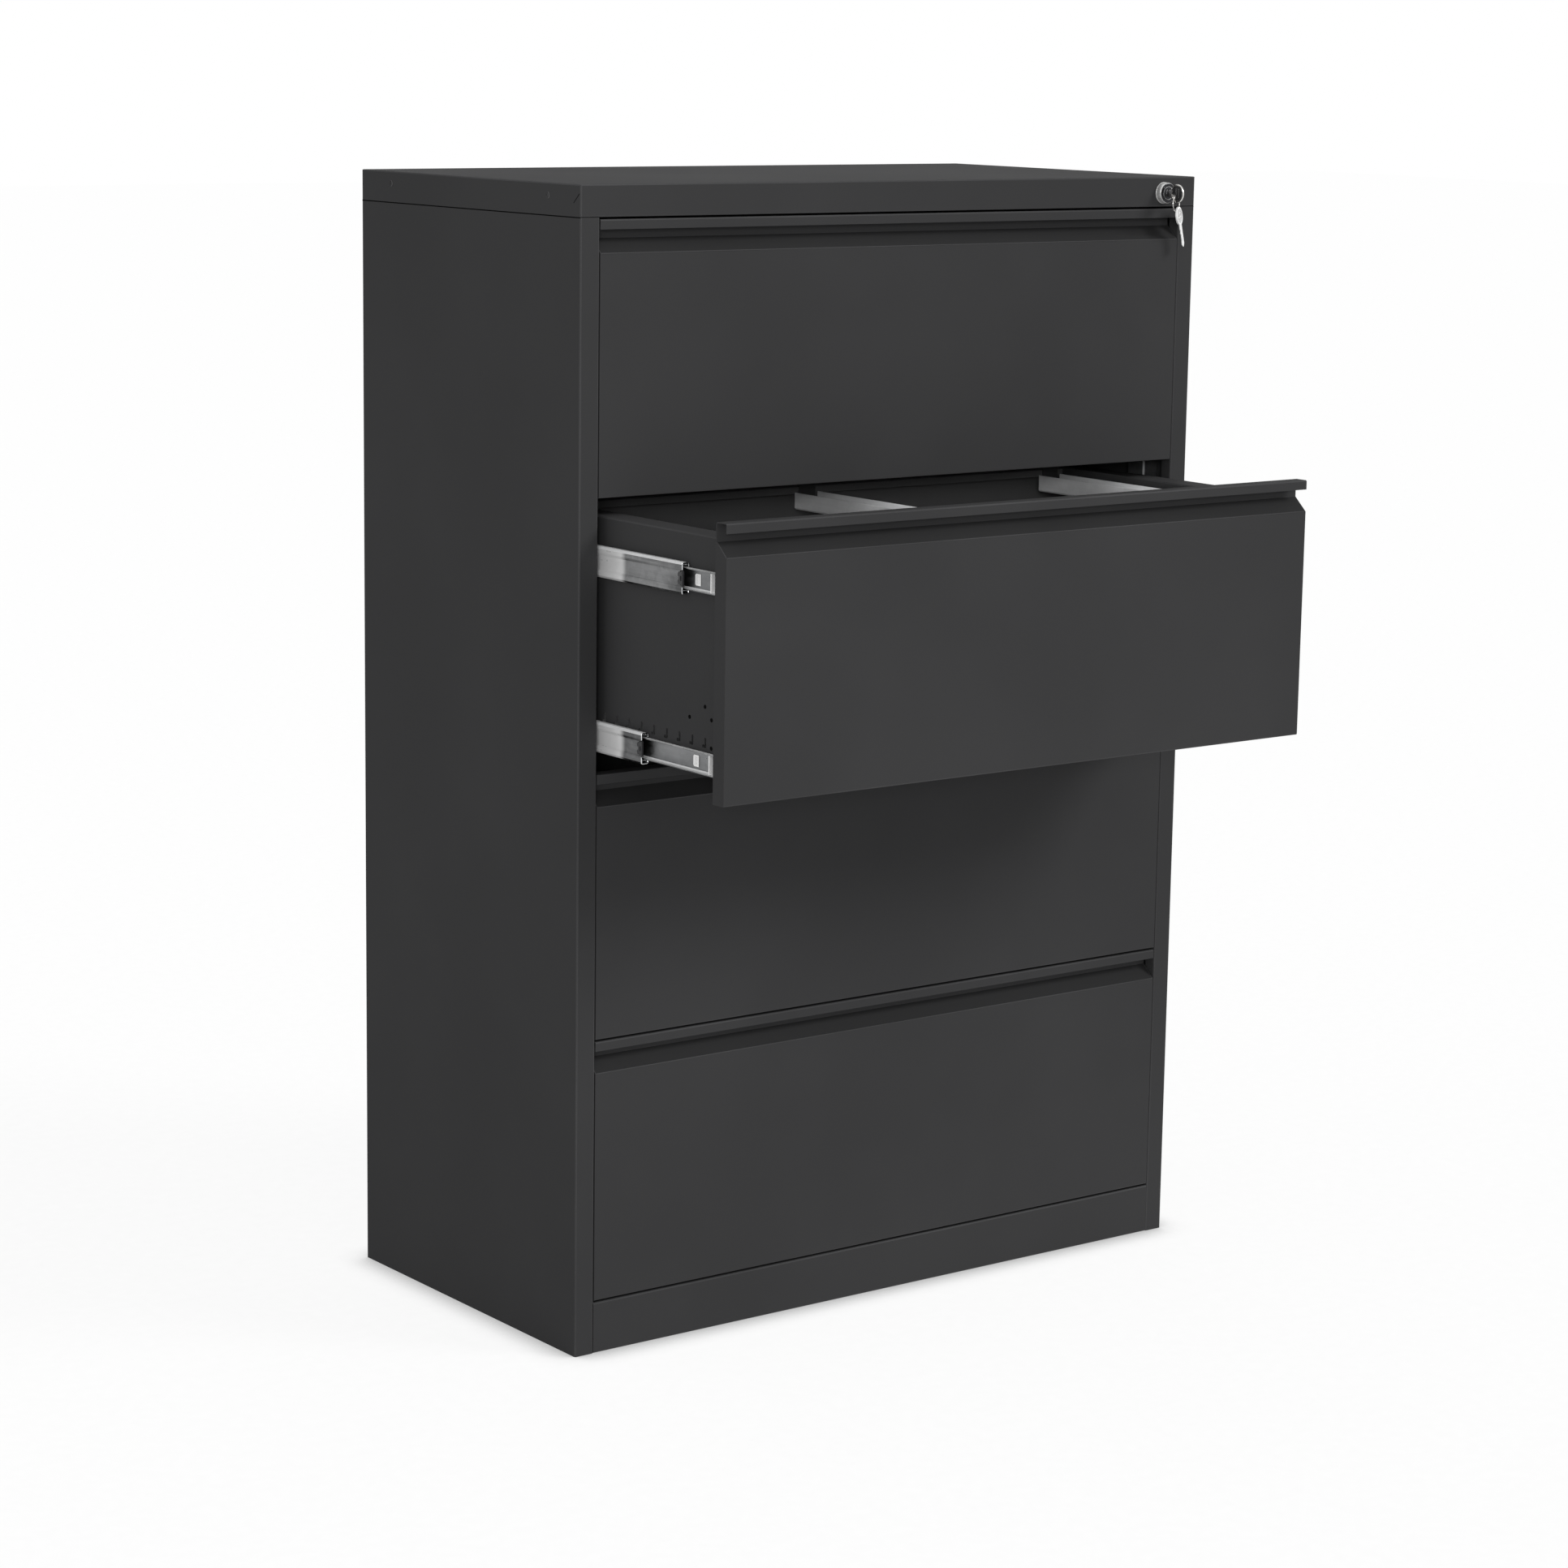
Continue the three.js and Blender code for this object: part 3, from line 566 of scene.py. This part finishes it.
toMetres = Matrix.Diagonal((metre, metre, metre, 1.0))


# axes of a form: where its own x, y and z point, in the cabinet
def lay(origin, xAxis=(1, 0, 0), yAxis=(0, 1, 0), zAxis=(0, 0, 1)):
    turned = Matrix((xAxis, yAxis, zAxis)).transposed().to_4x4()
    return Matrix.Translation(at(*origin)) @ toMetres @ turned


# ring of an outline of (radius, along), turned about y
def lathe(profile, sides):
    verts, faces = [], []
    count = len(profile)
    for k in range(sides):
        angle = 2 * math.pi * k / sides
        verts += [(r * math.cos(angle), y, r * math.sin(angle)) for r, y in profile]
    for k in range(sides):
        a = k * count
        b = (k + 1) % sides * count
        faces += [(a + i, a + (i + 1) % count, b + (i + 1) % count, b + i) for i in range(count)]
    return verts, faces


# round bar along a path; aside is a direction that the path never takes
def sweep(path, radius, sides, aside=(0, 1, 0.001)):
    verts, faces = [], []
    points = [Vector(p) for p in path]
    last = len(points) - 1
    for i, point in enumerate(points):
        along = (points[min(i + 1, last)] - points[max(i - 1, 0)]).normalized()
        side = along.cross(Vector(aside)).normalized()
        rise = side.cross(along)
        for k in range(sides):
            angle = 2 * math.pi * k / sides
            verts.append(tuple(point + side * (radius * math.cos(angle)) + rise * (radius * math.sin(angle))))
    for i in range(last):
        a = i * sides
        b = a + sides
        faces += [(a + k, a + (k + 1) % sides, b + (k + 1) % sides, b + k) for k in range(sides)]
    faces += [tuple(range(sides)), tuple(range(last * sides, (last + 1) * sides))]
    return verts, faces


def circle(radius, sides, middle=(0, 0), start=0.0, turn=360.0):
    steps = sides if abs(turn) >= 360 else sides + 1
    angles = [math.radians(start + turn * k / sides) for k in range(steps)]
    return [(middle[0] + radius * math.cos(a), middle[1] + radius * math.sin(a)) for a in angles]


# flat plate with holes and eased edges; it lies in its own x and y, with its thickness in z
def plate(outlines, thickness, ease):
    data = bpy.data.curves.new("plateOutline", "CURVE")
    data.dimensions = "2D"
    data.fill_mode = "BOTH"
    data.extrude = thickness / 2 - ease
    data.bevel_depth = ease
    data.bevel_resolution = 1
    data.offset = -ease
    for outline in outlines:
        spline = data.splines.new("POLY")
        spline.points.add(len(outline) - 1)
        for point, (x, y) in zip(spline.points, outline):
            point.co = (x, y, 0, 1)
        spline.use_cyclic_u = True
    holder = bpy.data.objects.new("plateOutline", data)
    scene.collection.objects.link(holder)
    made = bpy.data.meshes.new_from_object(holder.evaluated_get(bpy.context.evaluated_depsgraph_get()))
    verts = [tuple(v.co) for v in made.vertices]
    faces = [tuple(p.vertices) for p in made.polygons]
    bpy.data.objects.remove(holder)
    bpy.data.curves.remove(data)
    bpy.data.meshes.remove(made)
    return verts, faces


def moved(form, matrix):
    return [tuple(matrix @ Vector(v)) for v in form[0]], form[1]


def oblong(left, right, low, high):
    return [(left, low), (right, low), (right, high), (left, high)]


# stands a plate up, so that its thickness lies along y
def upright(along, facing=1):
    return Matrix(((1, 0, 0, 0), (0, 0, facing, along), (0, 1, 0, 0), (0, 0, 0, 1)))


hands = ((-1, "left"), (1, "right"))
openSet = {"row": 2, "by": 240.0}


# how far a drawer stands out at rest
def drawerOut(row):
    return openSet["by"] if row == openSet["row"] else 0.0


# lock in the top rail, in pairs of a radius and a place along its axis; places of edge are behind its front,
# pairs of boreEdge and thread are added to the bore and the body
lockSet = {
    "axis": (399.0, 0.0, 1311.0),
    "sides": 96,
    "front": -9.0,
    "body": 9.5,
    "bore": 7.6,
    "boreEdge": (0.5, 0.6),
    "edge": ((10.6, 0.0), (11.6, 0.35), (12.2, 1.1), (12.5, 2.2)),
    "collar": ((12.5, -1.5), (12.9, -1.2), (12.9, -0.3)),
    "shaft": (-0.3, 6.5),
    "back": 18.0,
    "backEdge": 0.4,
    "thread": ((-0.5, 0.0), (0.0, 0.45), (0.0, 0.75), (-0.5, 1.2)),
    "threadFrom": 7.0,
    "threadPitch": 1.5,
    "threads": 7,
    "nut": 13.0,
    "nutThick": 5.0,
    "nutAt": 3.8,
    "nutPlay": 0.05,
    "plug": 7.3,
    "plugFront": -9.3,
    "plugBack": 22.0,
    "plugFace": 2.0,
    "plugStep": 0.2,
    "keySlot": (-1.3, 1.3, -4.3, 4.3),
    "well": 4.6,
    "wellFrom": -7.4,
    "wellTo": 13.4,
    "capOver": 0.1,
    "tail": (-2.5, 2.5, -2.5, 2.5),
    "tailLong": 3.3,
    "frontal": 0.9,
}


def makeLock():
    s = lockSet
    front, body, bore = s["front"], s["body"], s["bore"]
    wider, deeper = s["boreEdge"]
    profile = [(bore, front + deeper), (bore + wider, front)]
    profile += [(radius, front + behind) for radius, behind in s["edge"]]
    profile += s["collar"]
    profile += [(body, y) for y in s["shaft"]]
    for k in range(s["threads"]):
        start = s["threadFrom"] + s["threadPitch"] * k
        profile += [(body + out, start + along) for out, along in s["thread"]]
    profile += [(body - s["backEdge"], s["back"]), (bore, s["back"])]
    nut = plate([circle(s["nut"], 6), circle(body + s["nutPlay"], 48)], s["nutThick"], ease=0.4)
    forms = [lathe(profile, s["sides"]), moved(nut, upright(s["nutAt"]))]
    barrel = finishMesh("lockBarrelTrim", joinForms(forms), lay(s["axis"]), smooth=35)
    barrelPiece = putPiece("lockBarrelTrim", barrel, "satin", "cabinet")
    refinish(barrelPiece, "smoke", (0, -1, 0), s["frontal"])
    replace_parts(barrelPiece, "lock_barrel")

    plugBack, well = s["plugBack"], s["well"]
    face = plate([circle(s["plug"], 64), oblong(*s["keySlot"])], s["plugFace"], ease=0.35)
    face = moved(face, upright(s["plugFront"] + s["plugFace"] / 2))
    wall = s["plug"] - s["plugStep"]
    core = lathe([(well, s["wellFrom"]), (wall, s["wellFrom"]), (wall, plugBack), (well, plugBack)], 64)
    capWide = well + s["capOver"]
    cap = lathe([(0, s["wellTo"]), (capWide, s["wellTo"]), (capWide, plugBack), (0, plugBack)], 48)
    tail = plate([oblong(*s["tail"])], s["tailLong"], ease=0.3)
    tail = moved(tail, upright(plugBack + s["tailLong"] / 2))
    plug = finishMesh("lockPlugTrim", joinForms([face, core, cap, tail]), lay(s["axis"]), smooth=35)
    plugPiece = putPiece("lockPlugTrim", plug, "chrome", "lock_core")
    refinish(plugPiece, "smoke", (0, -1, 0), s["frontal"])
    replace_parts(plugPiece, "lock_plug")
    print("lock barrel and plug")


# keys: the bow's middle is the origin, the blade runs along x, the flat lies in x and y;
# the layers are shares of the thickness
keySet = {
    "bow": 11.0,
    "rim": 2.3,
    "hole": 2.2,
    "eyelet": 1.0,
    "gap": 0.1,
    "lowHole": (5.0, -4.0),
    "endHole": (-7.0, 0.0),
    "blade": 8.0,
    "shoulder": 2.2,
    "cutsFrom": 4.0,
    "cutsShort": 8.0,
    "cutShare": 0.55,
    "cuts": (0.0, 1.4, 0.7, 2.0, 1.1, 1.7, 0.5),
    "tipCut": (2.6, 0.4),
    "tipHalf": 0.6,
    "tipBack": 3.4,
    "ridgeFrom": 8.0,
    "ridgeShort": (5, 4),
    "ridge": (0.9, 1.9, 2.3),
    "ribs": ((-3.4, -2.6, -5.6, 5.6), (1.0, 1.8, -6.2, 6.2)),
    "thick": 2.0,
    "layers": {"rim": 1.2, "eyelet": 0.98, "body": 0.6, "ridge": 0.95, "grip": 0.82, "rib": 1.0},
    "inLock": 26.5,
    "bowAt": -24.8,
}


# circle around the middle, cut back where a hole lies
def notched(radius, holeRadius, holeAt):
    outline = []
    for x, y in circle(radius, 72):
        ray = Vector((x, y)) / radius
        ahead = Vector(holeAt).dot(ray)
        aside = holeRadius ** 2 - (Vector(holeAt) - ray * ahead).length_squared
        reach = min(radius, ahead - math.sqrt(aside)) if ahead > 0 and aside > 0 else radius
        outline.append((ray.x * reach, ray.y * reach))
    return outline


def keyForms(bladeLength, holeAt):
    s = keySet
    bow, half = s["bow"], s["blade"] / 2
    thick = {layer: share * s["thick"] for layer, share in s["layers"].items()}
    root = math.degrees(math.asin(half / bow))
    tip = bow + bladeLength
    tipBack, tipUp = s["tipCut"]
    outline = circle(bow, 56, (0, 0), root, 360 - 2 * root)
    outline += [(bow + s["shoulder"], -half)]
    step = (bladeLength - s["cutsShort"]) / len(s["cuts"])
    for k, depth in enumerate(s["cuts"]):
        x = bow + s["cutsFrom"] + k * step
        outline += [(x, -half + depth), (x + step * s["cutShare"], -half + depth)]
    outline += [(tip - tipBack, -half + tipUp), (tip, -s["tipHalf"]), (tip, s["tipHalf"])]
    outline += [(tip - s["tipBack"], half), (bow + s["shoulder"], half)]
    hole = circle(s["hole"], 28, holeAt)
    window = bow - s["rim"]
    rim = plate([circle(bow, 56), circle(window, 48)], thick["rim"], ease=0.3)
    eyelet = plate([circle(s["hole"] + s["eyelet"], 28, holeAt), hole], thick["eyelet"], ease=0.2)
    body = plate([outline, hole], thick["body"], ease=0.2)
    low, mid, high = s["ridge"]
    lowShort, highShort = s["ridgeShort"]
    ridge = [(s["ridgeFrom"], low), (tip - lowShort, low), (tip - highShort, mid), (s["ridgeFrom"], high)]
    ridge = plate([ridge], thick["ridge"], ease=0.25)
    ribs = joinForms([plate([oblong(*rib)], thick["rib"], ease=0.15) for rib in s["ribs"]])
    clear = s["hole"] + s["eyelet"] + s["gap"]
    grip = plate([notched(window - s["gap"], clear, holeAt)], thick["grip"], ease=0.2)
    return joinForms([rim, eyelet, body, ridge, ribs]), grip


# ring through the key's hole, leaning to the gap beside the top drawer, where the spare key
# hangs clear of its path
ringSet = {
    "radius": 9.6,
    "wire": 0.5,
    "hole": (399.0, -19.8, 1305.9),
    "toward": (12.5, 5.8, -15.5),
    "turns": 2,
    "steps": 54,
}
spareSet = {"lean": 13.0, "turn": 60.0, "blade": 27.0, "slack": 1.4}


def makeKeys():
    x, _, z = lockSet["axis"]
    metal, grip = keyForms(keySet["inLock"], keySet["lowHole"])
    flat = lay((x, keySet["bowAt"], z), (0, 1, 0), (0, 0, 1), (1, 0, 0))
    key = putPiece("keyInLock", finishMesh("keyInLock", metal, flat, smooth=30), "nickel", "key")
    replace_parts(key, "key")
    putPiece("keyGrip", finishMesh("keyGrip", grip, flat, smooth=30), "plastic", "key")

    s = ringSet
    radius, wire = s["radius"], s["wire"]
    away = Vector(s["toward"]).normalized()
    flatSide = away.cross(Vector((0, 0, 1))).normalized()
    acrossRing = away.cross(flatSide)
    middle = Vector(s["hole"]) + away * radius
    count = s["turns"] * s["steps"]
    path = []
    for k in range(count + 1):
        angle = 2 * math.pi * k / s["steps"]
        shift = (k / count - 0.5) * 2.0 * wire
        path.append((radius * math.cos(angle), shift, radius * math.sin(angle)))
    coil = finishMesh("splitRing", sweep(path, wire, 10), lay(middle, away, flatSide, acrossRing), smooth=40)
    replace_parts(putPiece("splitRing", coil, "nickel", "key_ring"), "key_ring")

    lean = math.radians(spareSet["lean"])
    turn = math.radians(spareSet["turn"])
    down = Vector((math.sin(lean), 0, -math.cos(lean)))
    face = Vector((math.sin(turn), math.cos(turn), 0))
    face = (face - down * face.dot(down)).normalized()
    hole = Vector(s["hole"]) + away * (2 * radius + spareSet["slack"])
    bow = hole - down * keySet["endHole"][0]
    metal, grip = keyForms(spareSet["blade"], keySet["endHole"])
    hung = lay(bow, down, face, down.cross(face))
    putPiece("spareKey", finishMesh("spareKey", metal, hung, smooth=30), "pale", "key_ring")
    putPiece("spareGrip", finishMesh("spareGrip", grip, hung, smooth=30), "satin", "key_ring")
    print("keys and ring")


# screws sunk in the top panel's side lips, and beside each a lighter arc, a painted highlight on the rim of
# its dimple
screwSet = {
    "head": 2.2,
    "height": 1.0,
    "along": (65.0, 395.0),
    "level": 1316.0,
    "seat": 448.75,
    "crossArm": 1.4,
    "crossHalf": 0.35,
    "crossDeep": 0.28,
    "bottom": 0.4,
    "bottomIn": 0.3,
}
dimpleHighlightSet = {"radius": 3.3, "wire": 0.55, "turn": 150.0, "out": 450.0}


def makeScrews():
    s, d = screwSet, dimpleHighlightSet
    arm, half = s["crossArm"], s["crossHalf"]
    cross = [(-half, -arm), (half, -arm), (half, -half), (arm, -half), (arm, half), (half, half)]
    cross += [(half, arm), (-half, arm), (-half, half), (-arm, half), (-arm, -half), (-half, -half)]
    head = plate([circle(s["head"], 40), cross], s["height"], ease=0.3)
    bottom = plate([circle(s["head"] - s["bottomIn"], 32)], s["bottom"], ease=0.1)
    screw = joinForms([head, moved(bottom, Matrix.Translation((0, 0, -s["crossDeep"])))])
    arc = [(v, w, 0.0) for v, w in circle(d["radius"], 20, (0, 0), 180 - d["turn"] / 2, d["turn"])]
    rim = sweep(arc, d["wire"], 10, (0, 0, 1))
    for side, hand in hands:
        for k, y in enumerate(s["along"]):
            origin = (side * (s["seat"] + s["height"] / 2), y, s["level"])
            spot = lay(origin, (0, side, 0), (0, 0, 1), (side, 0, 0))
            name = f"lipScrew_{hand}_{k + 1}"
            putPiece(name, finishMesh(name, screw, spot, smooth=30), "paintEdgeHighlight", "cabinet")
            # a lighter arc on the panel, a painted highlight on the rim of the dimple
            spot = lay((side * d["out"], y, s["level"]), (0, 1, 0), (0, 0, 1), (side, 0, 0))
            name = f"dimpleHighlight_{hand}_{k + 1}"
            putPiece(name, finishMesh(name, rim, spot, smooth=40), "paintDimpleHighlight", "cabinet")
    print("lip screws and their dimples")


# slides: plastic stop and rolled end at the front of each middle member, ball cages inside it,
# and the drawer member's tab and end; "out" is how far the open drawer's middle members stand out
slideSet = {
    "out": {(2, "upper"): 179.0, (2, "lower"): 105.0},
    "rise": {"upper": 237.5, "lower": 40.0},
    "feet": (986.5, 678.5, 370.5, 62.5),
    "start": 22.0,
    "gap": 0.02,
    "stopOut": 421.1,
    "stopDeep": 1.25,
    "stopEdge": (
        (-0.5, 7.6), (1.4, 8.0), (2.6, 6.6), (3.8, 7.8), (5.0, 6.2),
        (6.4, 6.8), (8.0, 5.2), (8.0, 2.4), (6.0, 1.4),
    ),
    "stopWindow": (1.0, 3.0, -2.6, 2.6),
    "nose": (-0.95, -0.15, -8.2, 8.2),
    "noseDeep": 2.6,
    "noseIn": 0.7,
    "cageOut": 416.2,
    "cageFrom": 4.0,
    "cageHalf": 2.2,
    "cageThick": 0.8,
    "ball": 1.75,
    "pocket": 1.9,
    "race": 14.15,
    "balls": 9,
    "ballsFrom": 6.0,
    "pitch": 11.0,
    "curlOut": 412.0,
    "curlAhead": 0.2,
    "curl": (
        (1.4, 12.6), (1.4, 15.6), (2.0, 16.6), (3.0, 16.95),
        (8.6, 16.95), (9.6, 16.5), (9.9, 15.6), (9.9, 9.6),
    ),
    "curlWire": 0.68,
    "tabOut": 412.7,
    "tabAlong": (61.0, 71.0),
    "tabHalf": 6.4,
    "tabCorner": 1.5,
    "tabThick": 0.5,
    "slits": (3.0, 6.2),
    "slitWide": 0.7,
    "slitHalf": 4.8,
    "end": (34.5, 36.0),
    "endHalf": 10.6,
    "endDeep": 5.6,
}


# forms of the slides: own x along the slide, y up, z towards the case
def stopForm():
    s = slideSet
    outline = list(s["stopEdge"]) + [(y, -z) for y, z in reversed(s["stopEdge"])]
    front = plate([outline, oblong(*s["stopWindow"])], s["stopDeep"], ease=0.15)
    nose = plate([oblong(*s["nose"])], s["noseDeep"], ease=0.2)
    return joinForms([front, moved(nose, Matrix.Translation((0, 0, -s["noseIn"])))])


def curlForm():
    s = slideSet
    ends = []
    for up in (1, -1):
        path = [(0.0, up * v, u) for u, v in s["curl"]]
        ends.append(sweep(path, s["curlWire"], 10, (1, 0, 0)))
    return joinForms(ends)


def tabForm():
    s = slideSet
    first, last = s["tabAlong"]
    half, corner = s["tabHalf"], s["tabCorner"]
    outline = [(first, -half), (last - corner, -half), (last, corner - half)]
    outline += [(last, half - corner), (last - corner, half), (first, half)]
    slits = []
    for along in s["slits"]:
        x = first + along
        slits.append(oblong(x, x + s["slitWide"], -s["slitHalf"], s["slitHalf"]))
    tab = plate([outline] + slits, s["tabThick"], ease=0.1)
    tab = moved(tab, Matrix.Translation((0, 0, s["tabThick"] / 2)))
    wall = plate([oblong(*s["end"], -s["endHalf"], s["endHalf"])], s["endDeep"], ease=0.2)
    return joinForms([tab, moved(wall, Matrix.Translation((0, 0, s["endDeep"] / 2)))])


def ballForm(radius):
    work = bmesh.new()
    bmesh.ops.create_icosphere(work, subdivisions=2, radius=radius)
    work.verts.index_update()
    form = [tuple(v.co) for v in work.verts], [tuple(v.index for v in f.verts) for f in work.faces]
    work.free()
    return form


def cageForm():
    s = slideSet
    ball = ballForm(s["ball"])
    places = [s["ballsFrom"] + s["pitch"] * (k + 0.5) for k in range(s["balls"])]
    start = s["cageFrom"]
    end = start + s["pitch"] * (s["balls"] + 0.5)
    forms = []
    for up in (1, -1):
        pockets = [circle(s["pocket"], 14, (x, 0)) for x in places]
        strip = oblong(start, end, -s["cageHalf"], s["cageHalf"])
        band = plate([strip] + pockets, s["cageThick"], ease=0.15)
        forms.append(moved(band, upright(up * s["race"], up)))
        forms += [moved(ball, Matrix.Translation((x, up * s["race"], 0))) for x in places]
    return joinForms(forms)


def makeSlides():
    s = slideSet
    stop, cage, curl, tab = stopForm(), cageForm(), curlForm(), tabForm()
    for row, foot in enumerate(s["feet"], 1):
        for level in ("upper", "lower"):
            body = f"drawer_{row}_{level}_members"
            front = s["start"] - s["out"].get((row, level), 0.0)
            z = foot + s["rise"][level]
            for side, hand in hands:
                axes = (0, 1, 0), (0, 0, 1), (side, 0, 0)
                which = f"{row}_{level}_{hand}"
                spot = lay((side * (s["stopOut"] + s["stopDeep"] / 2 + s["gap"]), front, z), *axes)
                name = f"slideStop_{which}"
                putPiece(name, finishMesh(name, stop, spot, smooth=30), "plastic", body)
                spot = lay((side * s["cageOut"], front, z), *axes)
                name = f"ballCage_{which}"
                putPiece(name, finishMesh(name, cage, spot, smooth=40), "chrome", body)
                spot = lay((side * s["curlOut"], front - s["curlAhead"], z), *axes)
                name = f"slideCurl_{which}"
                putPiece(name, finishMesh(name, curl, spot, smooth=50), "chrome", body)
                spot = lay((side * (s["tabOut"] + s["gap"]), -drawerOut(row), z), *axes)
                name = f"slideTab_{which}"
                putPiece(name, finishMesh(name, tab, spot, smooth=30), "pale", f"drawer_{row}")
    print("slide stops, ball cages, rolled ends and tabs")


# punched holes near the front of each drawer side, as near-black discs of painted shade
holeSet = {
    "radius": 2.3,
    "deep": 0.25,
    "out": 411.5,
    "places": ((81.0, 86.0), (52.6, 101.0), (40.5, 88.0), (40.5, 57.0)),
}


def makeHoles():
    s = holeSet
    disc = lathe([(0, s["deep"]), (s["radius"], s["deep"]), (s["radius"], 0.0), (0, 0.0)], 24)
    holes = joinForms([moved(disc, Matrix.Translation((y, 0, z))) for y, z in s["places"]])
    for row, foot in enumerate(slideSet["feet"], 1):
        for side, hand in hands:
            spot = lay((side * s["out"], -drawerOut(row), foot), (0, 1, 0), (side, 0, 0), (0, 0, 1))
            name = f"sideHoles_{row}_{hand}"
            putPiece(name, finishMesh(name, holes, spot, smooth=30), "shadeBlack", f"drawer_{row}")
    print("side holes")


# painted shadow in the top panel's joints: dark lines under its side lips, and along the mitre at the front
# corners
seamShadowSet = {
    "out": 450.0,
    "level": 1294.0,
    "along": (0.8, 459.2),
    "half": 0.65,
    "deep": 0.12,
    "mitre": ((2.5, 1320.0), (14.0, 1309.5)),
    "mitreShare": 0.7,
}


def makeSeamShadows():
    s = seamShadowSet
    rise = s["level"]
    first, last = [Vector((y, z - rise)) for y, z in s["mitre"]]
    run = (last - first).normalized() * s["half"] * s["mitreShare"]
    aside = Vector((-run.y, run.x))
    mitre = [tuple(corner) for corner in (first + aside, last + aside, last - aside, first - aside)]
    line = oblong(*s["along"], -s["half"], s["half"])
    shape = joinForms([plate([line], s["deep"], ease=0.03), plate([mitre], s["deep"], ease=0.03)])
    for side, hand in hands:
        spot = lay((side * s["out"], 0.0, rise), (0, 1, 0), (0, 0, 1), (side, 0, 0))
        name = f"lipSeamShadow_{hand}"
        putPiece(name, finishMesh(name, shape, spot, smooth=30), "shadeBlack", "cabinet")
    print("seams of the top panel")


# painted highlight lines along the drawer fronts, where the face bends back to the finger recess
creaseHighlightSet = {"half": 423.2, "rise": 268.5, "radius": 0.7, "inset": 0.35}


def makeCreaseHighlights():
    s = creaseHighlightSet
    path = [(x, 0.0, 0.0) for x in (-s["half"], 0.0, s["half"])]
    for row, foot in enumerate(slideSet["feet"], 1):
        spot = lay((0.0, s["inset"] - drawerOut(row), foot + s["rise"]))
        name = f"creaseHighlight_{row}"
        highlightRod = finishMesh(name, sweep(path, s["radius"], 12), spot, smooth=40)
        putPiece(name, highlightRod, "paintEdgeHighlight", f"drawer_{row}")
    print("creases of the drawer fronts")


makeCamera()
makeLight()
makeFloor()
finishes = makeFinishes()
dressSolids(finishes)
makeLock()
makeKeys()
makeScrews()
makeSlides()
makeHoles()
makeSeamShadows()
makeCreaseHighlights()
